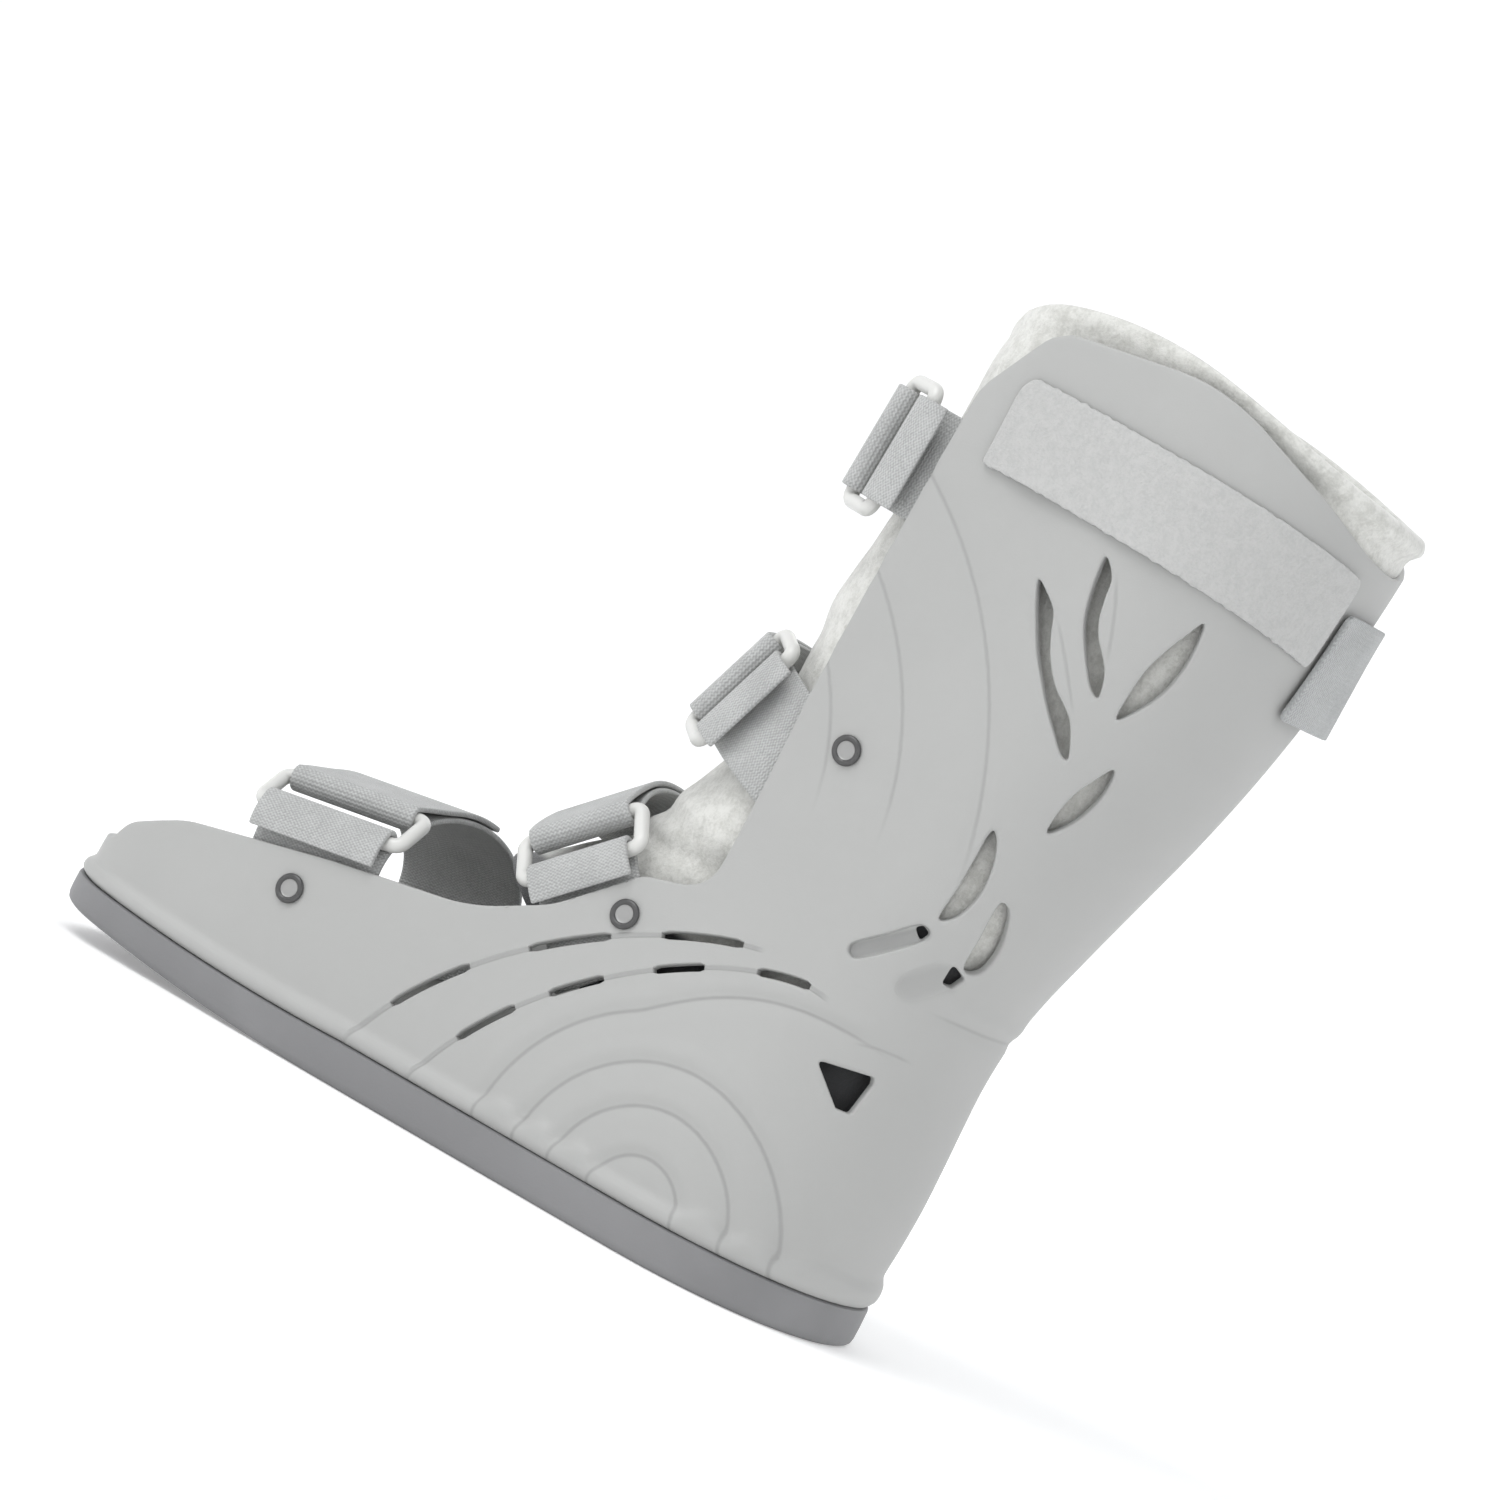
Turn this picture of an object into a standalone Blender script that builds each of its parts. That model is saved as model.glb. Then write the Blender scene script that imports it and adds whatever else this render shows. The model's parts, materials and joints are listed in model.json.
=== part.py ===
"""A walker boot in a moulded shell: grooved outsole, hollow shell, insole, padded liner and four ring straps.

Metres, +Z up. The boot stands on its tread, the toe points along -Y and the boot's left side is +X.
Sizes are worked out with the heel end at Y = 0; the frame empty then centres the boot over the origin.
"""
import math

import bmesh
import bpy
from mathutils import Vector

# Driving sizes
SOLE_LENGTH = 0.290
SOLE_WIDTH = 0.120
SHELL_HEIGHT = 0.311
LINER_HEIGHT = 0.317
FIT_GAP = 0.0003

# Sole
SOLE_THICK = 0.0135
SOLE_TOE_THICK = 0.0095
SOLE_EDGE = 0.0017
TOE_SPRING = 0.0105
SPRING_START = 0.168
TREAD_ROUND = 0.003
TOP_ROUND = 0.0012
INSOLE_THICK = 0.005
INSOLE_GAP = 0.001
CURL_CUTS = 7
FIRST_CURL_CUT = 0.4

# Tread
GROOVE_PITCH = 0.01877
GROOVE_WIDTH = 0.003
GROOVE_DEPTH = 0.0034
ZIGZAG_HALF = 0.0191
ZIGZAG_SWING = 0.0092
FIRST_GROOVE = 0.0084
LAST_GROOVE = 0.0113
GROOVE_MARGIN = 0.0035
CLOSED_END_TURN = 1.6
OPEN_END_TURN = 2.0
HEEL_ZONE = 0.050
MITRE_LIMIT = 0.3

# Shell and liner walls
WALL = 0.003
CUT_INWARD = 0.009
CUT_OUTWARD = 0.006
SPLIT = 0.100
WIDTH_EASE = 0.090
BEAD_CLEAR = 0.003
LINER_WALL = 0.004
LINER_SPLIT = 0.4
TAPE_ROOM = 0.0060

# Webbing, rings and rivets
WEB_THICK = 0.0018
RING_WIRE = 0.0024
RING_WINDOW = 0.0145
RING_SIDE_GAP = 0.0008
RING_CORNER = 0.0031
TAB_DEPTH = 0.026
TAB_RETURN = 0.004
TAB_TIP = 0.008
TAB_TIP_DROP = 0.001
TAIL_SETTLE = 2.2
RIVET_HEAD = 0.0048
RIVET_RISE = 0.0012
RIVET_SHANK = 0.0019
RIVET_BITE = 0.00144

# Collar tapes
PATCH_THICK = 0.0016
CALF_STRAP_THICK = 0.0042
CALF_STRAP_STAND = 0.0012
PATCH_BEND = 1.5

# Mesh steps
NOSE_STEPS = 8
FRONT_STEPS = 13
SIDE_STEPS = 4
BACK_STEPS = 7
RIVET_SIDES = 12
WIRE_SIDES = 6
LEAF_STEPS = 6
EDGE_STEPS = 4
SLOT_STEPS = 4
NOSE_SAMPLES = 24
ARCH_SAMPLES = 120
WRAP_STEPS = 6
TAIL_STEPS = 7
TAB_STEP = 0.006
STRAP_STEP = 0.007
WALK_STEP = 0.01
WALK_MARGIN = 0.03
CUT_REACH = 0.2

# Shell sections. height: share of SHELL_HEIGHT. back, mid, front, nose: shares of SOLE_LENGTH, from the
# heel end, + to the rear. ankle, ball: half widths as shares of SOLE_WIDTH.
SECTIONS = [
    dict(height=0.000, back=-0.006, mid=-0.200, front=-0.994, nose=0.096, ankle=0.486, ball=0.483),
    dict(height=0.064, back=-0.003, mid=-0.200, front=-0.992, nose=0.096, ankle=0.484, ball=0.481),
    dict(height=0.109, back=0.002, mid=-0.196, front=-0.990, nose=0.096, ankle=0.478, ball=0.479),
    dict(height=0.154, back=0.005, mid=-0.190, front=-0.983, nose=0.096, ankle=0.467, ball=0.472),
    dict(height=0.199, back=0.005, mid=-0.180, front=-0.966, nose=0.103, ankle=0.453, ball=0.464),
    dict(height=0.244, back=0.004, mid=-0.169, front=-0.862, nose=0.138, ankle=0.437, ball=0.452),
    dict(height=0.289, back=0.004, mid=-0.159, front=-0.707, nose=0.155, ankle=0.421, ball=0.432),
    dict(height=0.338, back=0.009, mid=-0.148, front=-0.586, nose=0.155, ankle=0.408, ball=0.410),
    dict(height=0.386, back=0.021, mid=-0.138, front=-0.490, nose=0.124, ankle=0.401, ball=0.401),
    dict(height=0.450, back=0.043, mid=-0.124, front=-0.441, nose=0.090, ankle=0.401, ball=0.401),
    dict(height=0.514, back=0.066, mid=-0.110, front=-0.428, nose=0.076, ankle=0.409, ball=0.409),
    dict(height=0.595, back=0.095, mid=-0.097, front=-0.421, nose=0.069, ankle=0.428, ball=0.428),
    dict(height=0.675, back=0.119, mid=-0.083, front=-0.414, nose=0.062, ankle=0.450, ball=0.450),
    dict(height=0.772, back=0.141, mid=-0.066, front=-0.407, nose=0.055, ankle=0.475, ball=0.475),
    dict(height=0.868, back=0.155, mid=-0.052, front=-0.400, nose=0.048, ankle=0.494, ball=0.494),
    dict(height=0.965, back=0.164, mid=-0.045, front=-0.397, nose=0.045, ankle=0.507, ball=0.507),
    dict(height=1.061, back=0.169, mid=-0.041, front=-0.397, nose=0.045, ankle=0.514, ball=0.514),
]
NOSE_POWER = 3.0
BACK_POWER = 2.15

# Rounded bead where the shell meets the sole. rise: above the sole. out: beyond the wall.
BEAD = [
    dict(rise=0.0000, out=0.0004),
    dict(rise=0.0012, out=0.0018),
    dict(rise=0.0030, out=0.0023),
    dict(rise=0.0048, out=0.0017),
    dict(rise=0.0064, out=0.0003),
    dict(rise=0.0085, out=0.0000),
]

# Top edge of the shell from toe to heel, in side view. y: share of SOLE_LENGTH. z: share of SHELL_HEIGHT.
# round: corner radius as a share of SHELL_HEIGHT.
EDGE = [
    dict(y=-1.100, z=0.106, round=0.000),
    dict(y=-0.948, z=0.106, round=0.008),
    dict(y=-0.934, z=0.130, round=0.020),
    dict(y=-0.870, z=0.160, round=0.060),
    dict(y=-0.690, z=0.196, round=0.200),
    dict(y=-0.520, z=0.222, round=0.200),
    dict(y=-0.440, z=0.262, round=0.100),
    dict(y=-0.365, z=0.330, round=0.040),
    dict(y=-0.292, z=0.347, round=0.050),
    dict(y=-0.288, z=0.560, round=0.300),
    dict(y=-0.258, z=0.900, round=0.060),
    dict(y=-0.205, z=0.982, round=0.045),
    dict(y=-0.010, z=1.000, round=0.250),
    dict(y=0.120, z=0.945, round=0.200),
    dict(y=0.170, z=0.910, round=0.000),
    dict(y=0.300, z=0.905, round=0.000),
]

# Openings through each side of the shaft. Both tips: y as a share of SOLE_LENGTH, z as a share of
# SHELL_HEIGHT. width: of SOLE_LENGTH. lean: where along it the widest place lies. bow: sideways bend.
VENTS = [
    dict(name="long", y0=-0.112, z0=0.765, y1=-0.003, z1=0.630, width=0.023, lean=0.28, bow=0.03),
    dict(name="curved", y0=-0.050, z0=0.812, y1=0.000, z1=0.694, width=0.020, lean=0.35, bow=-0.12),
    dict(name="upper leaf", y0=0.026, z0=0.680, y1=0.062, z1=0.795, width=0.034, lean=0.55, bow=0.0),
    dict(name="middle leaf", y0=0.006, z0=0.553, y1=0.042, z1=0.633, width=0.027, lean=0.50, bow=0.0),
    dict(name="lower leaf", y0=-0.054, z0=0.430, y1=-0.036, z1=0.530, width=0.028, lean=0.50, bow=-0.08),
    dict(name="ankle leaf", y0=-0.012, z0=0.390, y1=0.000, z1=0.476, width=0.024, lean=0.45, bow=-0.10),
    dict(name="bar", y0=-0.122, z0=0.366, y1=-0.056, z1=0.415, width=0.013, lean=0.60, bow=0.0),
    dict(name="dart", y0=-0.096, z0=0.258, y1=-0.042, z1=0.240, width=0.036, lean=0.82, bow=0.0),
]

# Two rows of dashed slots along superellipse arcs about the ankle. middle: share of SOLE_LENGTH.
# reach: of SOLE_LENGTH. top: of SHELL_HEIGHT. ends: shares of SOLE_LENGTH where a slot starts and stops.
SLOT_ROWS = [
    dict(middle=-0.172, reach=0.414, top=0.325, ends=[
        (-0.545, -0.486), (-0.436, -0.362), (-0.312, -0.226),
    ]),
    dict(middle=-0.138, reach=0.360, top=0.312, ends=[
        (-0.458, -0.417), (-0.390, -0.345), (-0.300, -0.252), (-0.197, -0.138),
    ]),
]
SLOT_POWER = 1.6
SLOT_WIDTH = 0.0024

# Liner sections. back_z and front_z: shares of the rise from the insole to LINER_HEIGHT.
# front, cap: shares of SOLE_LENGTH.
LINER_SECTIONS = [
    dict(back_z=0.000, front_z=0.231, front=-0.580, cap=-0.400),
    dict(back_z=0.110, front_z=0.245, front=-0.555, cap=-0.380),
    dict(back_z=0.221, front_z=0.272, front=-0.517, cap=-0.360),
    dict(back_z=0.305, front_z=0.325, front=-0.452, cap=-0.300),
    dict(back_z=0.406, front_z=0.419, front=-0.403, cap=-0.262),
    dict(back_z=0.507, front_z=0.513, front=-0.379, cap=-0.248),
    dict(back_z=0.607, front_z=0.607, front=-0.366, cap=-0.241),
    dict(back_z=0.742, front_z=0.742, front=-0.348, cap=-0.228),
    dict(back_z=0.860, front_z=0.876, front=-0.331, cap=-0.214),
    dict(back_z=0.950, front_z=1.000, front=-0.314, cap=-0.200),
]
LINER_POWER = 2.1

# Straps. y: share of SOLE_LENGTH and z: share of SHELL_HEIGHT where the strap's middle crosses the shell's
# edge. tilt: degrees from upright toward the toe. width, arch, reach, tail: metres. reach: webbing between
# edge and ring. tail: length folded back.
STRAPS = [
    dict(name="toe", y=-0.717, z=0.190, tilt=8.0, width=0.046, arch=0.026, reach=0.010, tail=0.055),
    dict(name="instep", y=-0.412, z=0.284, tilt=42.0, width=0.034, arch=0.037, reach=0.010, tail=0.050),
    dict(name="ankle", y=-0.288, z=0.500, tilt=68.0, width=0.034, arch=0.041, reach=0.024, tail=0.046),
    dict(name="shin", y=-0.268, z=0.810, tilt=86.0, width=0.035, arch=0.036, reach=0.012, tail=0.050),
]

# Rivets through shell and webbing, on both sides. y: share of SOLE_LENGTH. z: share of SHELL_HEIGHT.
RIVETS = [
    dict(name="toe", strap="toe", y=-0.717, z=0.151),
    dict(name="instep", strap="instep", y=-0.360, z=0.288),
    dict(name="ankle", strap="ankle", y=-0.221, z=0.530),
]

# Rivet outline from the shank to the middle of the dished head. radius: of RIVET_HEAD. rise: of RIVET_RISE.
RIVET_HEAD_ROWS = [
    dict(radius=1.00, rise=0.0),
    dict(radius=0.80, rise=1.0),
    dict(radius=0.55, rise=1.0),
    dict(radius=0.40, rise=0.4),
]

# Tapes round the collar. walk: place round the loop, 1 at SPLIT, 2 at the side's end, 3 at the back middle.
PATCH_ENDS = [dict(walk=1.44, low=0.835, high=0.930), dict(walk=2.84, low=0.800, high=0.898)]
CALF_ENDS = [dict(walk=2.87, low=0.745, high=0.865), dict(walk=1.55, low=0.765, high=0.885)]

# Colours and finish: red, green, blue, roughness, metallic
FINISHES = {
    "shell plastic": (0.50, 0.50, 0.49, 0.45, 0.0),
    "sole rubber": (0.22, 0.22, 0.23, 0.70, 0.0),
    "insole foam": (0.30, 0.30, 0.29, 0.90, 0.0),
    "liner cloth": (0.72, 0.72, 0.68, 0.95, 0.0),
    "webbing": (0.42, 0.42, 0.41, 0.85, 0.0),
    "ring plastic": (0.62, 0.62, 0.61, 0.35, 0.0),
    "rivet": (0.32, 0.32, 0.31, 0.35, 0.8),
    "loop tape": (0.56, 0.56, 0.56, 0.95, 0.0),
    "calf webbing": (0.36, 0.37, 0.37, 0.90, 0.0),
}


def clear_scene():
    for obj in list(bpy.data.objects):
        bpy.data.objects.remove(obj, do_unlink=True)


def finish(name):
    material = bpy.data.materials.get(name) or bpy.data.materials.new(name)
    material.use_nodes = True
    red, green, blue, rough, metal = FINISHES[name]
    shader = material.node_tree.nodes["Principled BSDF"]
    shader.inputs["Base Color"].default_value = (red, green, blue, 1.0)
    shader.inputs["Roughness"].default_value = rough
    shader.inputs["Metallic"].default_value = metal
    return material


def new_object(name, bm, frame, look=None):
    """Closes the bmesh into an object under the frame. Without a look it is a cutter."""
    bmesh.ops.recalc_face_normals(bm, faces=bm.faces)
    mesh = bpy.data.meshes.new(name)
    bm.to_mesh(mesh)
    bm.free()
    obj = bpy.data.objects.new(name, mesh)
    bpy.context.scene.collection.objects.link(obj)
    obj.parent = frame
    if look:
        mesh.materials.append(finish(look))
        mesh.shade_smooth()
        mesh.set_sharp_from_angle(angle=math.radians(38))
    else:
        obj.hide_render = True
        obj.display_type = "WIRE"
    return obj


def cut(obj, cutter):
    knife = obj.modifiers.new("Cut " + cutter.name, "BOOLEAN")
    knife.operation = "DIFFERENCE"
    knife.object = cutter


def settle(obj):
    """Applies the object's modifiers, so that what follows can work on the cut mesh."""
    graph = bpy.context.evaluated_depsgraph_get()
    mesh = bpy.data.meshes.new_from_object(obj.evaluated_get(graph))
    obj.modifiers.clear()
    obj.data = mesh


# Round of the boot at one height
def blend(low, high, share):
    return low + (high - low) * share


def section_at(z):
    height = z / SHELL_HEIGHT
    for lower, upper in zip(SECTIONS, SECTIONS[1:]):
        if height <= upper["height"]:
            break
    share = (height - lower["height"]) / (upper["height"] - lower["height"])
    found = {key: blend(lower[key], upper[key], share) for key in lower}
    sized = {key: found[key] * SOLE_LENGTH for key in ("back", "mid", "front", "nose")}
    sized["ankle"] = found["ankle"] * SOLE_WIDTH
    sized["ball"] = found["ball"] * SOLE_WIDTH
    sized["cap"] = sized["front"] + sized["nose"]
    sized["split"] = -SPLIT
    sized["power"] = NOSE_POWER
    return sized


def half_width(section, y):
    """The wall's half width: the ankle's behind the split, easing to the ball's in front of it."""
    share = min(max((-y - SPLIT) / WIDTH_EASE, 0.0), 1.0)
    return blend(section["ankle"], section["ball"], share * share * (3 - 2 * share))


def nose_path(section):
    """Points from the toe's middle round the nose to where the side begins."""
    nose = section["cap"] - section["front"]
    path = []
    for step in range(NOSE_SAMPLES + 1):
        turn = math.radians(90 * step / NOSE_SAMPLES)
        y = section["cap"] - nose * math.cos(turn) ** (2 / section["power"])
        path.append(Vector((half_width(section, y) * math.sin(turn) ** (2 / section["power"]), y)))
    return path


def along(path, share):
    """The point at a share of the path's length."""
    lengths = [(b - a).length for a, b in zip(path, path[1:])]
    left = share * sum(lengths)
    for start, end, length in zip(path, path[1:], lengths):
        if left <= length or end is path[-1]:
            return start.lerp(end, left / length if length else 0.0)
        left -= length


def loop_point(section, walk):
    """A point of the half loop: walk 0 to 1 round the front, 1 to 2 along the side, 2 to 3 round the back."""
    nose_end = NOSE_STEPS / FRONT_STEPS
    if walk < nose_end:
        return along(nose_path(section), walk / nose_end)
    if walk <= 1:
        y = blend(section["cap"], section["split"], (walk - nose_end) / (1 - nose_end))
        return Vector((half_width(section, y), y))
    if walk <= 2:
        y = blend(section["split"], section["mid"], walk - 1)
        return Vector((half_width(section, y), y))
    turn = math.radians(90 * (walk - 2))
    swell = 2 / BACK_POWER
    x = section["ankle"] * max(math.cos(turn), 0.0) ** swell
    return Vector((x, section["mid"] + (section["back"] - section["mid"]) * math.sin(turn) ** swell))


def offset_point(section, walk, out):
    """The loop point moved out along the loop's own normal."""
    point = loop_point(section, walk)
    if walk <= 0:
        return point + Vector((0.0, -out))
    if walk >= 3:
        return point + Vector((0.0, out))
    way = loop_point(section, min(walk + WALK_STEP, 3)) - loop_point(section, max(walk - WALK_STEP, 0))
    way.normalize()
    return point + Vector((way.y, -way.x)) * out


def walks():
    front = [step / FRONT_STEPS for step in range(FRONT_STEPS)]
    side = [1 + step / SIDE_STEPS for step in range(SIDE_STEPS)]
    back = [2 + step / BACK_STEPS for step in range(BACK_STEPS + 1)]
    return front + side + back


def coarse_walks():
    return walks()[::2] + [3.0] * (len(walks()) % 2 == 0)


def full_loop(half):
    """Adds the mirrored side to a half loop that starts and ends on the middle plane."""
    return half + [Vector((-p.x, *p[1:])) for p in reversed(half[1:-1])]


def ring_at(z_of, out):
    """A closed loop round the boot. z_of gives the height for a place (y) of the loop."""
    half = []
    for walk in walks():
        y = loop_point(section_at(z_of(-SPLIT)), walk).y
        section = section_at(z_of(y))
        flat = offset_point(section, walk, out)
        half.append(Vector((flat.x if 0 < walk < 3 else 0.0, flat.y, z_of(y))))
    return full_loop(half)


def loft(bm, rings, closed=False):
    """Joins rings of equal length by quads. Closed joins the last ring to the first."""
    rows = [[bm.verts.new(point) for point in ring] for ring in rings]
    pairs = list(zip(rows, rows[1:]))
    if closed:
        pairs.append((rows[-1], rows[0]))
    for low, high in pairs:
        count = len(low)
        for k in range(count):
            bm.faces.new((low[k], low[(k + 1) % count], high[(k + 1) % count], high[k]))
    return rows


def surface_x(y, z):
    """The half width of the shell's outer face at a place behind the nose."""
    section = section_at(z)
    if y <= section["mid"]:
        return half_width(section, y)
    share = (y - section["mid"]) / (section["back"] - section["mid"])
    return section["ankle"] * max(1 - share ** BACK_POWER, 0.0) ** (1 / BACK_POWER)


def surface_frame(y, z):
    """The outer face's point and its outward normal."""
    step = 0.001
    along_y = (surface_x(y + step, z) - surface_x(y - step, z)) / (2 * step)
    along_z = (surface_x(y, z + 4 * step) - surface_x(y, z - 4 * step)) / (8 * step)
    return Vector((surface_x(y, z), y, z)), Vector((1.0, -along_y, -along_z)).normalized()


# Sole
def spring(y):
    """How far the toe end curls up."""
    share = max((-y - SPRING_START) / (SOLE_LENGTH - SPRING_START), 0.0)
    return TOE_SPRING * share * share


def sole_top(y):
    share = min(max((-y - SPRING_START) / (SOLE_LENGTH - SPRING_START), 0.0), 1.0)
    return spring(y) + blend(SOLE_THICK, SOLE_TOE_THICK, share)


def curl(obj, low_part):
    """Bends a flat sole or insole up to the toe spring, after cutting it across where it bends."""
    bm = bmesh.new()
    bm.from_mesh(obj.data)
    for step in range(CURL_CUTS):
        y = -blend(SPRING_START, SOLE_LENGTH, (step + FIRST_CURL_CUT) / CURL_CUTS)
        geometry = bm.verts[:] + bm.edges[:] + bm.faces[:]
        bmesh.ops.bisect_plane(bm, geom=geometry, dist=1e-6, plane_co=(0, y, 0), plane_no=(0, 1, 0))
    for vertex in bm.verts:
        y = vertex.co.y
        if low_part:
            share = vertex.co.z / SOLE_THICK
            vertex.co.z = spring(y) + share * (sole_top(y) - spring(y))
        else:
            vertex.co.z += sole_top(y) - SOLE_THICK
    bm.to_mesh(obj.data)
    bm.free()


def flat_ring(z, level, out):
    return [Vector((p.x, p.y, z)) for p in ring_at(lambda y: level, out)]


def ribbon(points, half):
    """The closed outline of a band of even thickness along a line of 2-D points."""
    left, right = [], []
    for k, point in enumerate(points):
        before = (point - points[max(k - 1, 0)])
        after = (points[min(k + 1, len(points) - 1)] - point)
        before = (before if before.length else after).normalized()
        after = (after if after.length else before).normalized()
        middle = (before + after).normalized()
        side = Vector((-middle.y, middle.x)) * half / max(middle.dot(before), MITRE_LIMIT)
        left.append(point + side)
        right.append(point - side)
    return left + right[::-1]


def prism(bm, outline, place, low, high):
    """Pulls a 2-D outline from low to high. place turns (u, v, w) into a point."""
    base = [bm.verts.new(place(p.x, p.y, low)) for p in outline]
    top = [bm.verts.new(place(p.x, p.y, high)) for p in outline]
    bm.faces.new(base)
    bm.faces.new(top[::-1])
    for k in range(len(outline)):
        after = (k + 1) % len(outline)
        bm.faces.new((base[k], top[k], top[after], base[after]))


def groove_path(y):
    """One zigzag across the tread: closed near the left edge, run out through the right one."""
    level = section_at(0.0)
    widest = surface_x(min(y + ZIGZAG_SWING / 2, level["back"] - 0.001), 0.0) + SOLE_EDGE - GROOVE_MARGIN
    in_heel = y > -HEEL_ZONE
    right = -widest if in_heel else -(SOLE_WIDTH / 2 + GROOVE_WIDTH)
    path = []
    for place in range(3, -4, -1):
        swing = ZIGZAG_SWING / 2 if place % 2 == 0 else -ZIGZAG_SWING / 2
        if right < place * ZIGZAG_HALF < widest - GROOVE_WIDTH:
            path.append(Vector((place * ZIGZAG_HALF, y + swing)))
    path.insert(0, Vector((widest, path[0].y - (path[0].y - y) * CLOSED_END_TURN)))
    path.append(Vector((right, path[-1].y - (path[-1].y - y) * OPEN_END_TURN)))
    return path


def build_outsole(frame):
    bm = bmesh.new()
    rings = [
        flat_ring(0.0, 0.0, SOLE_EDGE - TREAD_ROUND),
        flat_ring(TREAD_ROUND / 3, 0.0, SOLE_EDGE - TREAD_ROUND / 3),
        flat_ring(TREAD_ROUND, 0.0, SOLE_EDGE),
        flat_ring(SOLE_THICK - TOP_ROUND, 0.0, SOLE_EDGE),
        flat_ring(SOLE_THICK, 0.0, SOLE_EDGE - TOP_ROUND),
    ]
    rows = loft(bm, rings)
    bm.faces.new(rows[0][::-1])
    bm.faces.new(rows[-1])
    outsole = new_object("outsole", bm, frame, "sole rubber")
    bm = bmesh.new()
    y = -SOLE_LENGTH + FIRST_GROOVE
    while y < -LAST_GROOVE:
        outline = ribbon(groove_path(y), GROOVE_WIDTH / 2)
        prism(bm, outline, lambda u, v, w: Vector((u, v, w)), -GROOVE_DEPTH, GROOVE_DEPTH)
        y += GROOVE_PITCH
    grooves = new_object("cutter_grooves", bm, frame)
    cut(outsole, grooves)
    settle(outsole)
    curl(outsole, True)
    return outsole


def build_insole(frame):
    bm = bmesh.new()
    inset = -(WALL + INSOLE_GAP)
    level = 2 * SOLE_THICK
    low = SOLE_THICK + FIT_GAP
    rows = loft(bm, [flat_ring(low, level, inset), flat_ring(low + INSOLE_THICK, level, inset)])
    bm.faces.new(rows[0][::-1])
    bm.faces.new(rows[-1])
    insole = new_object("insole", bm, frame, "insole foam")
    curl(insole, False)
    return insole


# Shell
def rounded(corners, steps):
    """Replaces each corner by an arc. Each corner is (point, radius)."""
    path = []
    for k, (point, radius) in enumerate(corners):
        if radius <= 0 or k in (0, len(corners) - 1):
            path.append(point.copy())
            continue
        back = corners[k - 1][0] - point
        ahead = corners[k + 1][0] - point
        bend = math.pi - back.angle(ahead)
        trim = min(radius * math.tan(bend / 2), 0.45 * back.length, 0.45 * ahead.length)
        start = point + back.normalized() * trim
        end = point + ahead.normalized() * trim
        for step in range(steps + 1):
            share = step / steps
            path.append(start.lerp(point, share).lerp(point.lerp(end, share), share))
    return path


def edge_cutter(frame):
    corners = []
    for row in EDGE:
        point = Vector((row["y"] * SOLE_LENGTH, row["z"] * SHELL_HEIGHT))
        corners.append((point, row["round"] * SHELL_HEIGHT))
    outline = rounded(corners, EDGE_STEPS)
    above = SHELL_HEIGHT + CUT_REACH
    outline += [Vector((outline[-1].x, above)), Vector((outline[0].x, above))]
    bm = bmesh.new()
    prism(bm, outline, lambda u, v, w: Vector((w, u, v)), -CUT_REACH, CUT_REACH)
    return new_object("cutter_edge", bm, frame)


def leaf_outline(length, width, lean, bow):
    """A lens with its widest place at lean, its middle line bent by bow."""
    upper, lower = [], []
    for step in range(LEAF_STEPS + 1):
        share = step / LEAF_STEPS
        swell = math.sin(math.pi * share ** (math.log(0.5) / math.log(lean)))
        middle = bow * length * math.sin(math.pi * share)
        half = width / 2 * max(swell, 0.0)
        upper.append(Vector(((share - 0.5) * length, middle + half)))
        lower.append(Vector(((share - 0.5) * length, middle - half)))
    return upper + lower[-2:0:-1]


def vent_cutters(bm, side):
    for row in VENTS:
        first = Vector((0, row["y0"] * SOLE_LENGTH, row["z0"] * SHELL_HEIGHT))
        last = Vector((0, row["y1"] * SOLE_LENGTH, row["z1"] * SHELL_HEIGHT))
        first.x = surface_x(first.y, first.z)
        last.x = surface_x(last.y, last.z)
        middle, normal = surface_frame((first.y + last.y) / 2, (first.z + last.z) / 2)
        way = (last - first)
        length = way.length
        way.normalize()
        across = normal.cross(way).normalized()
        normal = way.cross(across)
        outline = leaf_outline(length, row["width"] * SOLE_LENGTH, row["lean"], row["bow"])

        def place(u, v, w):
            point = middle + way * u + across * v + normal * w
            return Vector((side * point.x, point.y, point.z))

        prism(bm, outline, place, -CUT_INWARD, CUT_OUTWARD)


def slot_z(row, y):
    share = abs(y - row["middle"] * SOLE_LENGTH) / (row["reach"] * SOLE_LENGTH)
    return row["top"] * SHELL_HEIGHT * max(1 - share ** SLOT_POWER, 0.0) ** (1 / SLOT_POWER)


def slot_cutters(bm, side):
    for row in SLOT_ROWS:
        for start, stop in row["ends"]:
            places = [blend(start, stop, step / SLOT_STEPS) * SOLE_LENGTH for step in range(SLOT_STEPS + 1)]
            path = [Vector((y, slot_z(row, y))) for y in places]
            near = min(surface_x(p.x, p.y) for p in path) - CUT_INWARD
            far = max(surface_x(p.x, p.y) for p in path) + CUT_OUTWARD
            outline = ribbon(path, SLOT_WIDTH / 2)
            prism(bm, outline, lambda u, v, w: Vector((side * w, u, v)), near, far)


def turned(bm, profile, place, sides):
    """Turns a profile of (radius, height) about an axis. place turns (u, v, w) into a point."""
    rings = []
    for radius, height in profile:
        turns = [2 * math.pi * k / sides for k in range(sides)]
        rings.append([place(radius * math.cos(t), radius * math.sin(t), height) for t in turns])
    rows = loft(bm, rings)
    bm.faces.new(rows[0][::-1])
    bm.faces.new(rows[-1])


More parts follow.
